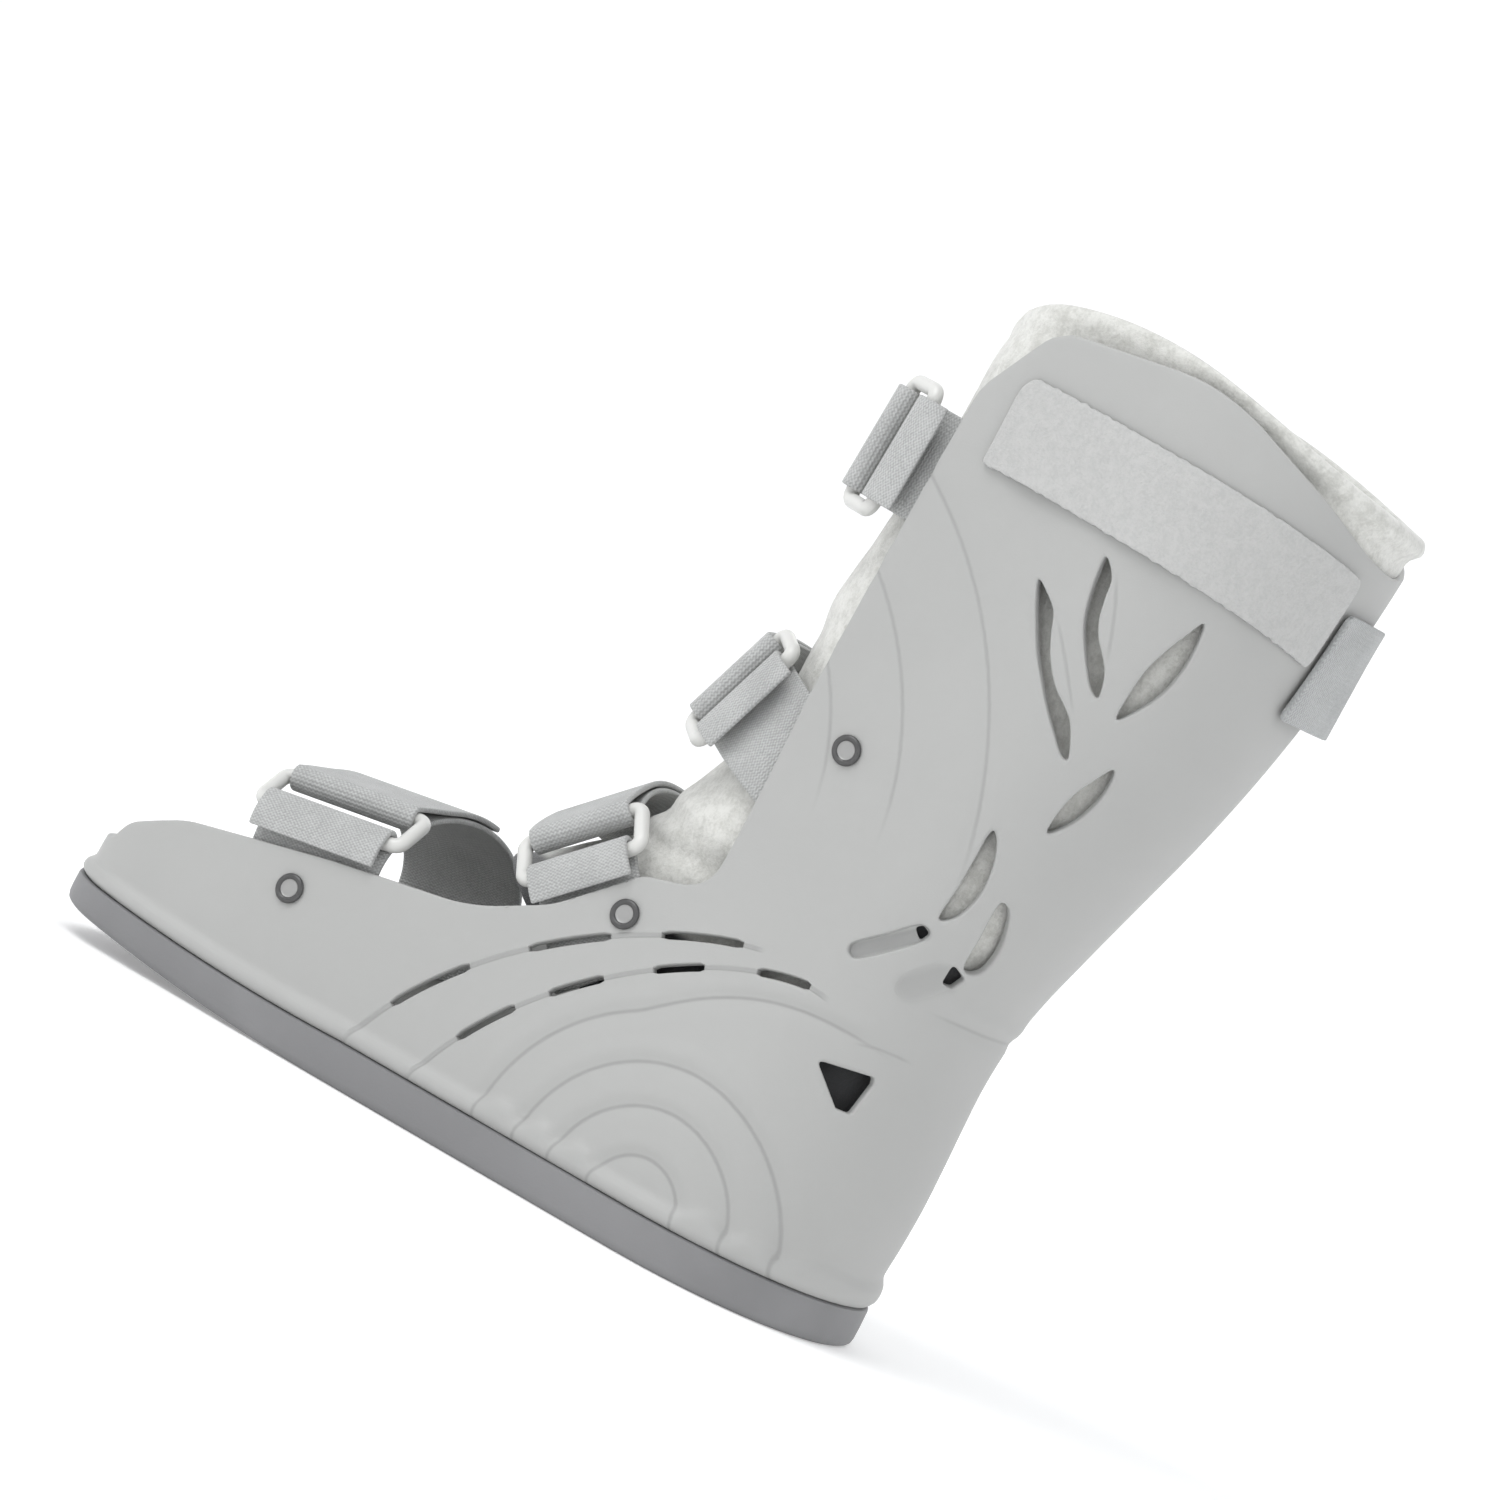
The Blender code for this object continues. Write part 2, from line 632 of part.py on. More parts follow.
def rivet_place(row, side):
    point, normal = surface_frame(row["y"] * SOLE_LENGTH, row["z"] * SHELL_HEIGHT)
    level = Vector((0, 0, 1)).cross(normal).normalized()
    up = normal.cross(level)

    def place(u, v, w):
        spot = point + level * u + up * v + normal * w
        return Vector((side * spot.x, spot.y, spot.z))

    return place


def rivet_holes(bm, side):
    radius = RIVET_SHANK + FIT_GAP
    for row in RIVETS:
        turned(bm, [(radius, -CUT_INWARD), (radius, CUT_OUTWARD)], rivet_place(row, side), RIVET_SIDES)


def build_shell(frame):
    def base(y):
        return sole_top(y) + FIT_GAP

    outer, inner = [], []
    for row in BEAD:
        outer.append(ring_at(lambda y: base(y) + row["rise"], row["out"]))
        inner.append(ring_at(lambda y: base(y) + row["rise"], row["out"] - WALL))
    first_level = max(p.z for p in outer[-1]) + BEAD_CLEAR
    levels = [row["height"] * SHELL_HEIGHT for row in SECTIONS[1:]]
    for z in [level for level in levels if level > first_level]:
        outer.append(flat_ring(z, z, 0.0))
        inner.append(flat_ring(z, z, -WALL))
    bm = bmesh.new()
    loft(bm, outer + inner[::-1], closed=True)
    shell = new_object("shell", bm, frame, "shell plastic")
    bm = bmesh.new()
    for side in (1, -1):
        vent_cutters(bm, side)
        slot_cutters(bm, side)
        rivet_holes(bm, side)
    openings = new_object("cutter_openings", bm, frame)
    cut(shell, edge_cutter(frame))
    cut(shell, openings)
    return shell


# Liner
def liner_ring(row, inside):
    """A tilted loop: the shell's own section, drawn in by the wall and the room for the webbing."""
    room = WALL + TAPE_ROOM
    seat = SOLE_THICK + INSOLE_THICK + 2 * FIT_GAP
    back_z = blend(seat, LINER_HEIGHT, row["back_z"])
    front_z = blend(seat, LINER_HEIGHT, row["front_z"])
    front = row["front"] * SOLE_LENGTH
    half = []
    for walk in coarse_walks():
        z = back_z
        for _ in range(3):
            section = section_at(z)
            cap = row["cap"] * SOLE_LENGTH
            split = blend(section["mid"], cap, LINER_SPLIT)
            section.update(front=front, cap=cap, split=split, ball=section["ankle"], power=LINER_POWER)
            flat = offset_point(section, walk, -room - inside)
            if walk <= 1:
                flat = flat + Vector((0.0, -room)) * (1 - walk)
            heel = section["back"] - room
            z = blend(back_z, front_z, (heel - flat.y) / (heel - front))
        half.append(Vector((flat.x if 0 < walk < 3 else 0.0, flat.y, z)))
    return full_loop(half)


def build_liner(frame):
    outer = [liner_ring(row, 0.0) for row in LINER_SECTIONS]
    inner = [liner_ring(row, LINER_WALL) for row in LINER_SECTIONS]
    bm = bmesh.new()
    loft(bm, outer + inner[::-1], closed=True)
    return new_object("liner", bm, frame, "liner cloth")


# Straps and rings
class Arch:
    """The line that a strap follows over the opening, in a plane of its own: x across, m outward."""

    def __init__(self, row):
        y = row["y"] * SOLE_LENGTH
        z = row["z"] * SHELL_HEIGHT
        tilt = math.radians(row["tilt"])
        self.centre = Vector((0, y, z))
        self.out = Vector((0, -math.sin(tilt), math.cos(tilt)))
        self.wide = Vector((0, math.cos(tilt), math.sin(tilt)))
        self.width = row["width"]
        self.half = self.inside_at(0.0)
        self.height = row["arch"]
        self.line = [self.at_turn(math.pi * k / ARCH_SAMPLES) for k in range(ARCH_SAMPLES + 1)]
        self.lengths = [0.0]
        for a, b in zip(self.line, self.line[1:]):
            self.lengths.append(self.lengths[-1] + (b - a).length)

    def inside_at(self, depth):
        """Half the way across at a depth below the edge, where the webbing lies against the shell's wall."""
        spots = [self.centre + self.wide * self.width * share - self.out * depth for share in (-0.5, 0.0, 0.5)]
        return min(surface_x(p.y, p.z) for p in spots) - WALL - FIT_GAP - WEB_THICK / 2

    def leg(self, side):
        """The webbing inside the shell, from its lower end up to the edge."""
        return [Vector((side * self.inside_at(TAB_DEPTH * share), -TAB_DEPTH * share)) for share in (1.0, 0.5)]

    def at_turn(self, turn):
        return Vector((self.half * math.cos(turn), self.height * math.sin(turn)))

    def spot(self, run, off):
        """The point a length along the arch from its left end, moved out by off, and its direction."""
        run = min(max(run, 0.0), self.lengths[-1])
        k = max(i for i, length in enumerate(self.lengths[:-1]) if length <= run)
        share = (run - self.lengths[k]) / (self.lengths[k + 1] - self.lengths[k])
        turn = math.pi * (k + share) / (len(self.line) - 1)
        way = Vector((-self.half * math.sin(turn), self.height * math.cos(turn))).normalized()
        return self.at_turn(turn) + Vector((way.y, -way.x)) * off, way

    def place(self, u, v, w):
        return self.centre + Vector((u, 0, 0)) + self.out * v + self.wide * w


def wrap(centre, way, bulge, radius):
    """Half a turn round a ring's bar, from its inner side to its outer side, bulging along the arch."""
    inward = Vector((-way.y, way.x))
    turns = [math.pi * k / WRAP_STEPS for k in range(WRAP_STEPS + 1)]
    return [centre + inward * radius * math.cos(t) + way * bulge * radius * math.sin(t) for t in turns]


def bar_runs(row):
    """Where the ring's two bars lie along the arch."""
    return row["reach"], row["reach"] + RING_WINDOW


def band_radius():
    return RING_WIRE + FIT_GAP + WEB_THICK / 2


def tab_path(row, arch):
    """Up inside the shell's wall, along under the first bar, round it and a short way back."""
    radius = band_radius()
    first, _ = bar_runs(row)
    centre, way = arch.spot(first, radius)
    path = arch.leg(1)
    count = max(int(first / TAB_STEP), 2)
    path += [arch.spot(first * k / count, 0.0)[0] for k in range(count)]
    path += wrap(centre, way, 1, radius)
    path.append(arch.spot(first - TAB_RETURN, 2 * radius)[0])
    path.append(arch.spot(first - TAB_TIP, 2 * radius - TAB_TIP_DROP)[0])
    return path


def strap_path(row, arch):
    """Up inside the right wall, over the arch, round the second bar and back on top of itself."""
    radius = band_radius()
    _, second = bar_runs(row)
    total = arch.lengths[-1]
    centre, way = arch.spot(second, radius)
    path = arch.leg(-1)
    count = max(int((total - second) / STRAP_STEP), 3)
    path += [arch.spot(blend(total, second, k / count), 0.0)[0] for k in range(count)]
    path += wrap(centre, way, -1, radius)
    for k in range(1, TAIL_STEPS + 1):
        share = k / TAIL_STEPS
        lift = max(1 - share * TAIL_SETTLE, 0.0) ** 2
        off = blend(WEB_THICK + 2 * FIT_GAP, 2 * radius, lift)
        path.append(arch.spot(second + row["tail"] * share, off)[0])
    return path


def sweep_loop(bm, path, normal, radius, sides):
    """A round wire along a closed flat path."""
    rings = []
    count = len(path)
    for k, point in enumerate(path):
        way = (path[(k + 1) % count] - path[k - 1]).normalized()
        level = way.cross(normal)
        turns = [2 * math.pi * i / sides for i in range(sides)]
        rings.append([point + (level * math.cos(t) + normal * math.sin(t)) * radius for t in turns])
    loft(bm, rings, closed=True)


def build_ring(row, arch, frame):
    first, second = bar_runs(row)
    radius = band_radius()
    start, _ = arch.spot(first, radius)
    end, _ = arch.spot(second, radius)
    way = (end - start)
    middle = (start + end) / 2
    half_short = way.length / 2
    way.normalize()
    half_long = row["width"] / 2 + RING_WIRE + RING_SIDE_GAP
    path = []
    for sign_a, sign_b, first_turn in ((1, 1, 0), (-1, 1, 90), (-1, -1, 180), (1, -1, 270)):
        for step in range(4):
            turn = math.radians(first_turn + 30 * step)
            a = sign_a * (half_short - RING_CORNER) + RING_CORNER * math.cos(turn)
            b = sign_b * (half_long - RING_CORNER) + RING_CORNER * math.sin(turn)
            flat = middle + way * a
            path.append(arch.place(flat.x, flat.y, b))
    normal = arch.place(-way.y, way.x, 0) - arch.centre
    bm = bmesh.new()
    sweep_loop(bm, path, normal.normalized(), RING_WIRE, WIRE_SIDES)
    return new_object("ring_" + row["name"], bm, frame, "ring plastic")


def build_webbing(frame, holes):
    for row in STRAPS:
        arch = Arch(row)
        name = row["name"]
        for kind, path in (("tab_", tab_path(row, arch)), ("strap_", strap_path(row, arch))):
            bm = bmesh.new()
            outline = ribbon(path, WEB_THICK / 2)
            prism(bm, outline, arch.place, -row["width"] / 2, row["width"] / 2)
            web = new_object(kind + name, bm, frame, "webbing")
            if name in [rivet["strap"] for rivet in RIVETS]:
                cut(web, holes)
        build_ring(row, arch, frame)


def build_rivets(frame):
    """Headed studs: a dished head outside, a shank through shell and webbing."""
    profile = [(RIVET_SHANK, -(WALL + FIT_GAP + RIVET_BITE)), (RIVET_SHANK, FIT_GAP)]
    for row in RIVET_HEAD_ROWS:
        profile.append((RIVET_HEAD * row["radius"], FIT_GAP + RIVET_RISE * row["rise"]))
    for row in RIVETS:
        for side, label in ((1, "left"), (-1, "right")):
            bm = bmesh.new()
            turned(bm, profile, rivet_place(row, side), RIVET_SIDES)
            new_object("rivet_" + row["name"] + "_" + label, bm, frame, "rivet")


# Collar tapes
def tape(name, frame, look, stations, stand, thick):
    """A band on the shell's outer face. Each station is (side, walk, low, high), in order round the loop."""
    rings = []
    for side, walk, low, high in stations:
        middle = (low + high) / 2
        top = stand + thick
        corners = []
        for z, out in ((low, stand), (low, top), (middle, top), (high, top), (high, stand), (middle, stand)):
            flat = offset_point(section_at(z), walk, out)
            corners.append(Vector((side * flat.x, flat.y, z)))
        rings.append(corners)
    bm = bmesh.new()
    rows = loft(bm, rings)
    bm.faces.new(rows[0][::-1])
    bm.faces.new(rows[-1])
    return new_object(name, bm, frame, look)


def walk_between(start, stop):
    """Stations from one walk to another: both ends and the shell's own columns between them."""
    low, high = sorted((start, stop))
    found = [low] + [walk for walk in walks() if low + WALK_MARGIN < walk < high - WALK_MARGIN] + [high]
    return found if start < stop else found[::-1]


def tape_station(ends, run, side, walk):
    low = blend(ends[0]["low"], ends[1]["low"], run) * SHELL_HEIGHT
    high = blend(ends[0]["high"], ends[1]["high"], run) * SHELL_HEIGHT
    return side, walk, low, high


def build_tapes(frame):
    first, last = PATCH_ENDS
    stations = []
    for walk in walk_between(first["walk"], last["walk"]):
        run = (walk - first["walk"]) / (last["walk"] - first["walk"])
        stations.append(tape_station(PATCH_ENDS, run ** PATCH_BEND, 1, walk))
    tape("loop_patch", frame, "loop tape", stations, FIT_GAP, PATCH_THICK)
    first, last = CALF_ENDS
    near = [(1, walk) for walk in walk_between(first["walk"], 3.0)]
    far = [(-1, walk) for walk in walk_between(3.0, last["walk"])[1:]]
    total = (3 - first["walk"]) + (3 - last["walk"])
    stations = []
    for side, walk in near + far:
        travelled = walk - first["walk"] if side > 0 else (3 - first["walk"]) + (3 - walk)
        stations.append(tape_station(CALF_ENDS, travelled / total, side, walk))
    tape("calf_strap", frame, "calf webbing", stations, CALF_STRAP_STAND, CALF_STRAP_THICK)


def centre_frame(frame):
    """Moves the frame so that the boot's box is centred over the origin."""
    bpy.context.view_layer.update()
    graph = bpy.context.evaluated_depsgraph_get()
    corners = []
    for obj in bpy.data.objects:
        if obj.type == "MESH" and not obj.hide_render:
            shown = obj.evaluated_get(graph)
            corners += [vertex.co.copy() for vertex in shown.data.vertices]
    for axis in (0, 1):
        places = [corner[axis] for corner in corners]
        frame.location[axis] = -(min(places) + max(places)) / 2


def build():
    clear_scene()
    bpy.context.scene.unit_settings.scale_length = 1.0
    frame = bpy.data.objects.new("boot_frame", None)
    bpy.context.scene.collection.objects.link(frame)
    build_outsole(frame)
    build_insole(frame)
    build_shell(frame)
    build_liner(frame)
    bm = bmesh.new()
    for side in (1, -1):
        rivet_holes(bm, side)
    holes = new_object("cutter_rivet_holes", bm, frame)
    build_webbing(frame, holes)
    build_rivets(frame)
    build_tapes(frame)
    centre_frame(frame)


build()
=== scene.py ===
# %% [markdown]
# A walker boot is a stiff moulded shell on a rubber sole. It holds a padded fleece sleeve, and four
# straps close it over the leg and foot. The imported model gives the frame: true sizes and places of every
# piece, in metres. This lesson dresses that frame. Most solids there are coarse on purpose, so their
# visible stand-ins are rebuilt here from the same few sizes, only with far more points.

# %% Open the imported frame
import json
import math

import bmesh
import bpy
import numpy as np
from mathutils import Matrix, Vector, noise

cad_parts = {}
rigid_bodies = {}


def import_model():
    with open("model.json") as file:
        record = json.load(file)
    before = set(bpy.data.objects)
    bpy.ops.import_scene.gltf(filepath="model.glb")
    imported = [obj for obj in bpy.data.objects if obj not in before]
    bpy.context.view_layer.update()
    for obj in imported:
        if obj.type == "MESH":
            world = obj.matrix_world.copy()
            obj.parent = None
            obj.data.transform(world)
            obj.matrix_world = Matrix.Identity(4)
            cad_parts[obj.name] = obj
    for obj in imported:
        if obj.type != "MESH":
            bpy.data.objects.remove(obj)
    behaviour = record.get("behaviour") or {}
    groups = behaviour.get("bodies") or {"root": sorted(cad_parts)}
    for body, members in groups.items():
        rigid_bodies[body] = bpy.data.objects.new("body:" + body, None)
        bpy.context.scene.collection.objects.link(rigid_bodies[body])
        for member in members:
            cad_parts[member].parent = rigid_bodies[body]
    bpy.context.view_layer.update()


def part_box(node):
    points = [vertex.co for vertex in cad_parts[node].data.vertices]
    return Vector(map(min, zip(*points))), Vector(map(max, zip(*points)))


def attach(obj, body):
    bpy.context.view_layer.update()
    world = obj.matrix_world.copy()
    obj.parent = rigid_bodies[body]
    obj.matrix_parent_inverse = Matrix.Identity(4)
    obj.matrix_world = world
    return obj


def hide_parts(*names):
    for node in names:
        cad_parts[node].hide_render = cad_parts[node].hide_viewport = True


for startup_object in list(bpy.data.objects):
    bpy.data.objects.remove(startup_object, do_unlink=True)
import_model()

# %% [markdown]
# The sizes of the real boot come first. Its length is that of a medium sole, and the tables hold the
# shape of the shell as shares of the sole's length and width and of the shell's height. Shares keep the
# form when a size changes, and they are the same ones that the solids were made from.

# %% Sizes of the boot
SOLE_LENGTH = 0.290
SOLE_WIDTH = 0.120
SHELL_HEIGHT = 0.311
LINER_HEIGHT = 0.317
FIT_GAP = 0.0003
WALL = 0.003
SPLIT = 0.100
WIDTH_EASE = 0.090
SOLE_THICK = 0.0135
SOLE_TOE_THICK = 0.0095
SOLE_EDGE = 0.0017
TOE_SPRING = 0.0105
SPRING_START = 0.168
NOSE_POWER = 3.0
BACK_POWER = 2.15
NOSE_END = 8 / 13
MM = 0.001

SECTIONS = [
    dict(height=0.000, back=-0.006, mid=-0.200, front=-0.994, nose=0.096, ankle=0.486, ball=0.483),
    dict(height=0.064, back=-0.003, mid=-0.200, front=-0.992, nose=0.096, ankle=0.484, ball=0.481),
    dict(height=0.109, back=0.002, mid=-0.196, front=-0.990, nose=0.096, ankle=0.478, ball=0.479),
    dict(height=0.154, back=0.005, mid=-0.190, front=-0.983, nose=0.096, ankle=0.467, ball=0.472),
    dict(height=0.199, back=0.005, mid=-0.180, front=-0.966, nose=0.103, ankle=0.453, ball=0.464),
    dict(height=0.244, back=0.004, mid=-0.169, front=-0.862, nose=0.138, ankle=0.437, ball=0.452),
    dict(height=0.289, back=0.004, mid=-0.159, front=-0.707, nose=0.155, ankle=0.421, ball=0.432),
    dict(height=0.338, back=0.009, mid=-0.148, front=-0.586, nose=0.155, ankle=0.408, ball=0.410),
    dict(height=0.386, back=0.021, mid=-0.138, front=-0.490, nose=0.124, ankle=0.401, ball=0.401),
    dict(height=0.450, back=0.043, mid=-0.124, front=-0.441, nose=0.090, ankle=0.401, ball=0.401),
    dict(height=0.514, back=0.066, mid=-0.110, front=-0.428, nose=0.076, ankle=0.409, ball=0.409),
    dict(height=0.595, back=0.095, mid=-0.097, front=-0.421, nose=0.069, ankle=0.428, ball=0.428),
    dict(height=0.675, back=0.119, mid=-0.083, front=-0.414, nose=0.062, ankle=0.450, ball=0.450),
    dict(height=0.772, back=0.141, mid=-0.066, front=-0.407, nose=0.055, ankle=0.475, ball=0.475),
    dict(height=0.868, back=0.155, mid=-0.052, front=-0.400, nose=0.048, ankle=0.494, ball=0.494),
    dict(height=0.965, back=0.164, mid=-0.045, front=-0.397, nose=0.045, ankle=0.507, ball=0.507),
    dict(height=1.061, back=0.169, mid=-0.041, front=-0.397, nose=0.045, ankle=0.514, ball=0.514),
]
sole_low, sole_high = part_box("outsole")
HEEL = Vector((
    (sole_low.x + sole_high.x) / 2,
    sole_high.y - SECTIONS[0]["back"] * SOLE_LENGTH - SOLE_EDGE,
    0.0,
))
print("heel end of the boot's own axes in the frame:", tuple(round(c, 5) for c in HEEL))

# %% [markdown]
# The camera is set before anything is made, because it decides what deserves detail. The photograph
# looks up at the boot's left side from behind and below, with the boot leaning over. Here the boot stands
# on a floor, so the camera keeps the photograph's bearing, comes up to just above the floor, and is rolled
# so that the shaft still leans up to the right.

# %% Camera
BEARING = math.radians(114.4)
CAMERA_RISE = math.radians(1.5)
CAMERA_ROLL = math.radians(27.0)
CAMERA_FAR = 1.62
LENS = 124.0

aim = Vector((0.0, 0.004, 0.150))
back_off = Vector((
    math.sin(BEARING) * math.cos(CAMERA_RISE),
    -math.cos(BEARING) * math.cos(CAMERA_RISE),
    math.sin(CAMERA_RISE),
))
camera_data = bpy.data.cameras.new("photo_camera")
camera_data.lens = LENS
camera_data.sensor_width = 36.0


def linked(name, data):
    """A new object in the scene, at the origin."""
    obj = bpy.data.objects.new(name, data)
    bpy.context.scene.collection.objects.link(obj)
    return obj


camera = linked("photo_camera", camera_data)
camera.rotation_mode = "QUATERNION"
level_turn = back_off.to_track_quat("Z", "Y")
roll_turn = Matrix.Rotation(CAMERA_ROLL, 3, "Z").to_quaternion()
camera.rotation_quaternion = level_turn @ roll_turn
camera.location = aim + back_off * CAMERA_FAR
bpy.context.scene.camera = camera
print("camera height over the floor, mm:", round(camera.location.z / MM))

# %% [markdown]
# Materials need sums on shader sockets. Blender can do that with Math nodes, and this small class lets a
# plain expression such as 1 - mask * 0.5 place them. Every other node comes from one method of the
# finish, which takes the node's kind, its settings and what its sockets get.

# %% Helpers for finishes
class Wire:
    """A shader socket that takes part in sums."""

    def __init__(self, finish, socket):
        self.finish = finish
        self.socket = socket

    def maths(self, operation, first, second=0.0):
        return self.finish.node("ShaderNodeMath", dict(operation=operation), {0: first, 1: second})

    def __add__(self, other):
        return self.maths("ADD", self, other)

    def __radd__(self, other):
        return self.maths("ADD", other, self)

    def __sub__(self, other):
        return self.maths("SUBTRACT", self, other)

    def __rsub__(self, other):
        return self.maths("SUBTRACT", other, self)

    def __mul__(self, other):
        return self.maths("MULTIPLY", self, other)

    def __rmul__(self, other):
        return self.maths("MULTIPLY", other, self)

    def __truediv__(self, other):
        return self.maths("DIVIDE", self, other)

    def __pow__(self, other):
        return self.maths("POWER", self, other)

    def __abs__(self):
        return self.maths("ABSOLUTE", self)

    def low(self, other):
        return self.maths("MINIMUM", self, other)

    def high(self, other):
        return self.maths("MAXIMUM", self, other)


class Finish:
    """One material: a Principled shader with what feeds it."""

    def __init__(self, name, colour, roughness, **constants):
        self.material = bpy.data.materials.new(name)
        self.material.use_nodes = True
        self.tree = self.material.node_tree
        self.shader = self.tree.nodes["Principled BSDF"]
        self.feed("Base Color", (*colour, 1.0))
        self.feed("Roughness", roughness)
        for socket, value in constants.items():
            self.feed(socket.replace("_", " "), value)

    def node(self, kind, settings=None, sockets=None, out=0):
        made = self.tree.nodes.new(kind)
        for key, value in (settings or {}).items():
            setattr(made, key, value)
        for key, value in (sockets or {}).items():
            self.plug(made.inputs[key], value)
        return Wire(self, made.outputs[out])

    def plug(self, socket, value):
        if isinstance(value, Wire):
            self.tree.links.new(value.socket, socket)
        else:
            socket.default_value = value

    def feed(self, socket, value):
        self.plug(self.shader.inputs[socket], value)

    def place(self):
        """Object coordinates: metres in the frame, since every piece sits at the origin."""
        return self.node("ShaderNodeTexCoord", out="Object")

    def parts(self, vector):
        split = self.node("ShaderNodeSeparateXYZ", sockets={0: vector})
        return [Wire(self, output) for output in split.socket.node.outputs]

    def grain(self, scale, detail=2.0, rough=0.5):
        sockets = {"Vector": self.place(), "Scale": scale, "Detail": detail, "Roughness": rough}
        return self.node("ShaderNodeTexNoise", sockets=sockets)

    def ease(self, value, start, stop, low=0.0, high=1.0):
        """Turns start to stop into low to high, smoothly and clamped."""
        sockets = {"Value": value, "From Min": start, "From Max": stop, "To Min": low, "To Max": high}
        settings = dict(interpolation_type="SMOOTHSTEP", clamp=True)
        return self.node("ShaderNodeMapRange", settings, sockets)

    def tint(self, share, first, second):
        """A colour between two, by share."""
        settings = dict(data_type="RGBA")
        sockets = {0: share, 6: (*first, 1.0) if isinstance(first, tuple) else first}
        sockets[7] = (*second, 1.0) if isinstance(second, tuple) else second
        return self.node("ShaderNodeMix", settings, sockets, out=2)

    def bump(self, height, strength, distance):
        sockets = {"Height": height, "Strength": strength, "Distance": distance}
        self.feed("Normal", self.node("ShaderNodeBump", sockets=sockets))


def shaded(colour, share):
    """A colour made darker or brighter by a share."""
    return tuple(c * share for c in colour)


# %% [markdown]
# Every visible piece goes through the same last steps: its bmesh becomes an object at the origin, smooth
# except over sharp edges, riding on the boot's one body and standing for the CAD node that it hides.

# %% Helpers that finish a piece
SHARP = 38.0


def to_frame(bm):
    """Moves a piece from the boot's own axes, with the heel end at Y = 0, into the frame."""
    bmesh.ops.translate(bm, verts=bm.verts, vec=HEEL)


def piece(name, bm, finishes, node, sharp=SHARP):
    """Turns a bmesh in the boot's own axes into a finished object."""
    to_frame(bm)
    mesh = bpy.data.meshes.new(name)
    bm.to_mesh(mesh)
    bm.free()
    for finish in finishes:
        mesh.materials.append(finish.material)
    mesh.shade_smooth()
    mesh.set_sharp_from_angle(angle=math.radians(sharp))
    obj = linked(name, mesh)
    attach(obj, "root")
    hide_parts(node)
    print(name, "triangles:", sum(len(face.vertices) - 2 for face in mesh.polygons))
    return obj


def neighbours(face):
    """The faces along a face's edges, itself among them."""
    return {other for edge in face.edges for other in edge.link_faces}


def cut_with(obj, bm):
    """Cuts a bmesh, in the frame, out of an object. Faces that the cut leaves back to back go again."""
    mesh = bpy.data.meshes.new("cutter")
    bm.to_mesh(mesh)
    bm.free()
    cutter = linked("cutter", mesh)
    knife = obj.modifiers.new("Cut", "BOOLEAN")
    knife.operation = "DIFFERENCE"
    knife.solver = "MANIFOLD"
    knife.object = cutter
    graph = bpy.context.evaluated_depsgraph_get()
    mesh = bpy.data.meshes.new_from_object(obj.evaluated_get(graph))
    bm = bmesh.new()
    bm.from_mesh(mesh)
    doubled = [face for face in bm.faces if len(neighbours(face)) == 2]
    bmesh.ops.delete(bm, geom=doubled, context="FACES")
    bm.to_mesh(mesh)
    bm.free()
    obj.modifiers.clear()
    obj.data = mesh
    mesh.set_sharp_from_angle(angle=math.radians(SHARP))
    bpy.data.objects.remove(cutter, do_unlink=True)


def flat_grid(columns, rows):
    """A flat grid that a sheet is laid from, and the shares of its two sides at each point."""
    bm = bmesh.new()
    bmesh.ops.create_grid(bm, x_segments=columns, y_segments=rows, size=0.5)
    return bm, np.array([(v.co.x, v.co.y) for v in bm.verts]) + 0.5


# %% [markdown]
# The shell is a loft in the maker's terms: level sections, each with a rounded nose, straight sides and a
# rounded back. A place on it is a walk and a height. The walk runs from 0 at the toe's middle over 1 and 2
# along the side to 3 at the heel's middle, and its sign says which side. Numpy reads the table for
# thousands of places at once, on smooth curves through the rows.

# %% Surface of the shell
HEIGHTS = np.array([row["height"] for row in SECTIONS]) * SHELL_HEIGHT
SECTION_SIZES = dict(
    back=SOLE_LENGTH, mid=SOLE_LENGTH, front=SOLE_LENGTH, nose=SOLE_LENGTH, ankle=SOLE_WIDTH, ball=SOLE_WIDTH,
)
NOSE_SAMPLES = 91
EVEN_LEVEL = 0.03


def flow(x, xs, ys):
    """A smooth curve through the points (xs, ys), read at x."""
    xs, ys = np.asarray(xs, float), np.asarray(ys, float)
    slopes = np.gradient(ys, xs)
    x = np.clip(x, xs[0], xs[-1])
    k = np.clip(np.searchsorted(xs, x, side="right") - 1, 0, len(xs) - 2)
    step = xs[k + 1] - xs[k]
    t = (x - xs[k]) / step
    rise = (1 + 2 * t) * (1 - t) ** 2 * ys[k] + t * t * (3 - 2 * t) * ys[k + 1]
    return rise + step * (t * (1 - t) ** 2 * slopes[k] - t * t * (1 - t) * slopes[k + 1])


def section_at(z):
    """The sizes of the level section at each height."""
    found = {}
    for key, size in SECTION_SIZES.items():
        found[key] = flow(z, HEIGHTS, [row[key] for row in SECTIONS]) * size
    found["cap"] = found["front"] + found["nose"]
    found["split"] = -SPLIT + 0 * found["cap"]
    found["power"] = NOSE_POWER
    return found


def half_width(section, y):
    """Half the width of the straight sides, which changes from the ankle's to the ball's."""
    share = np.clip((-y - SPLIT) / WIDTH_EASE, 0.0, 1.0)
    return section["ankle"] + (section["ball"] - section["ankle"]) * share * share * (3 - 2 * share)


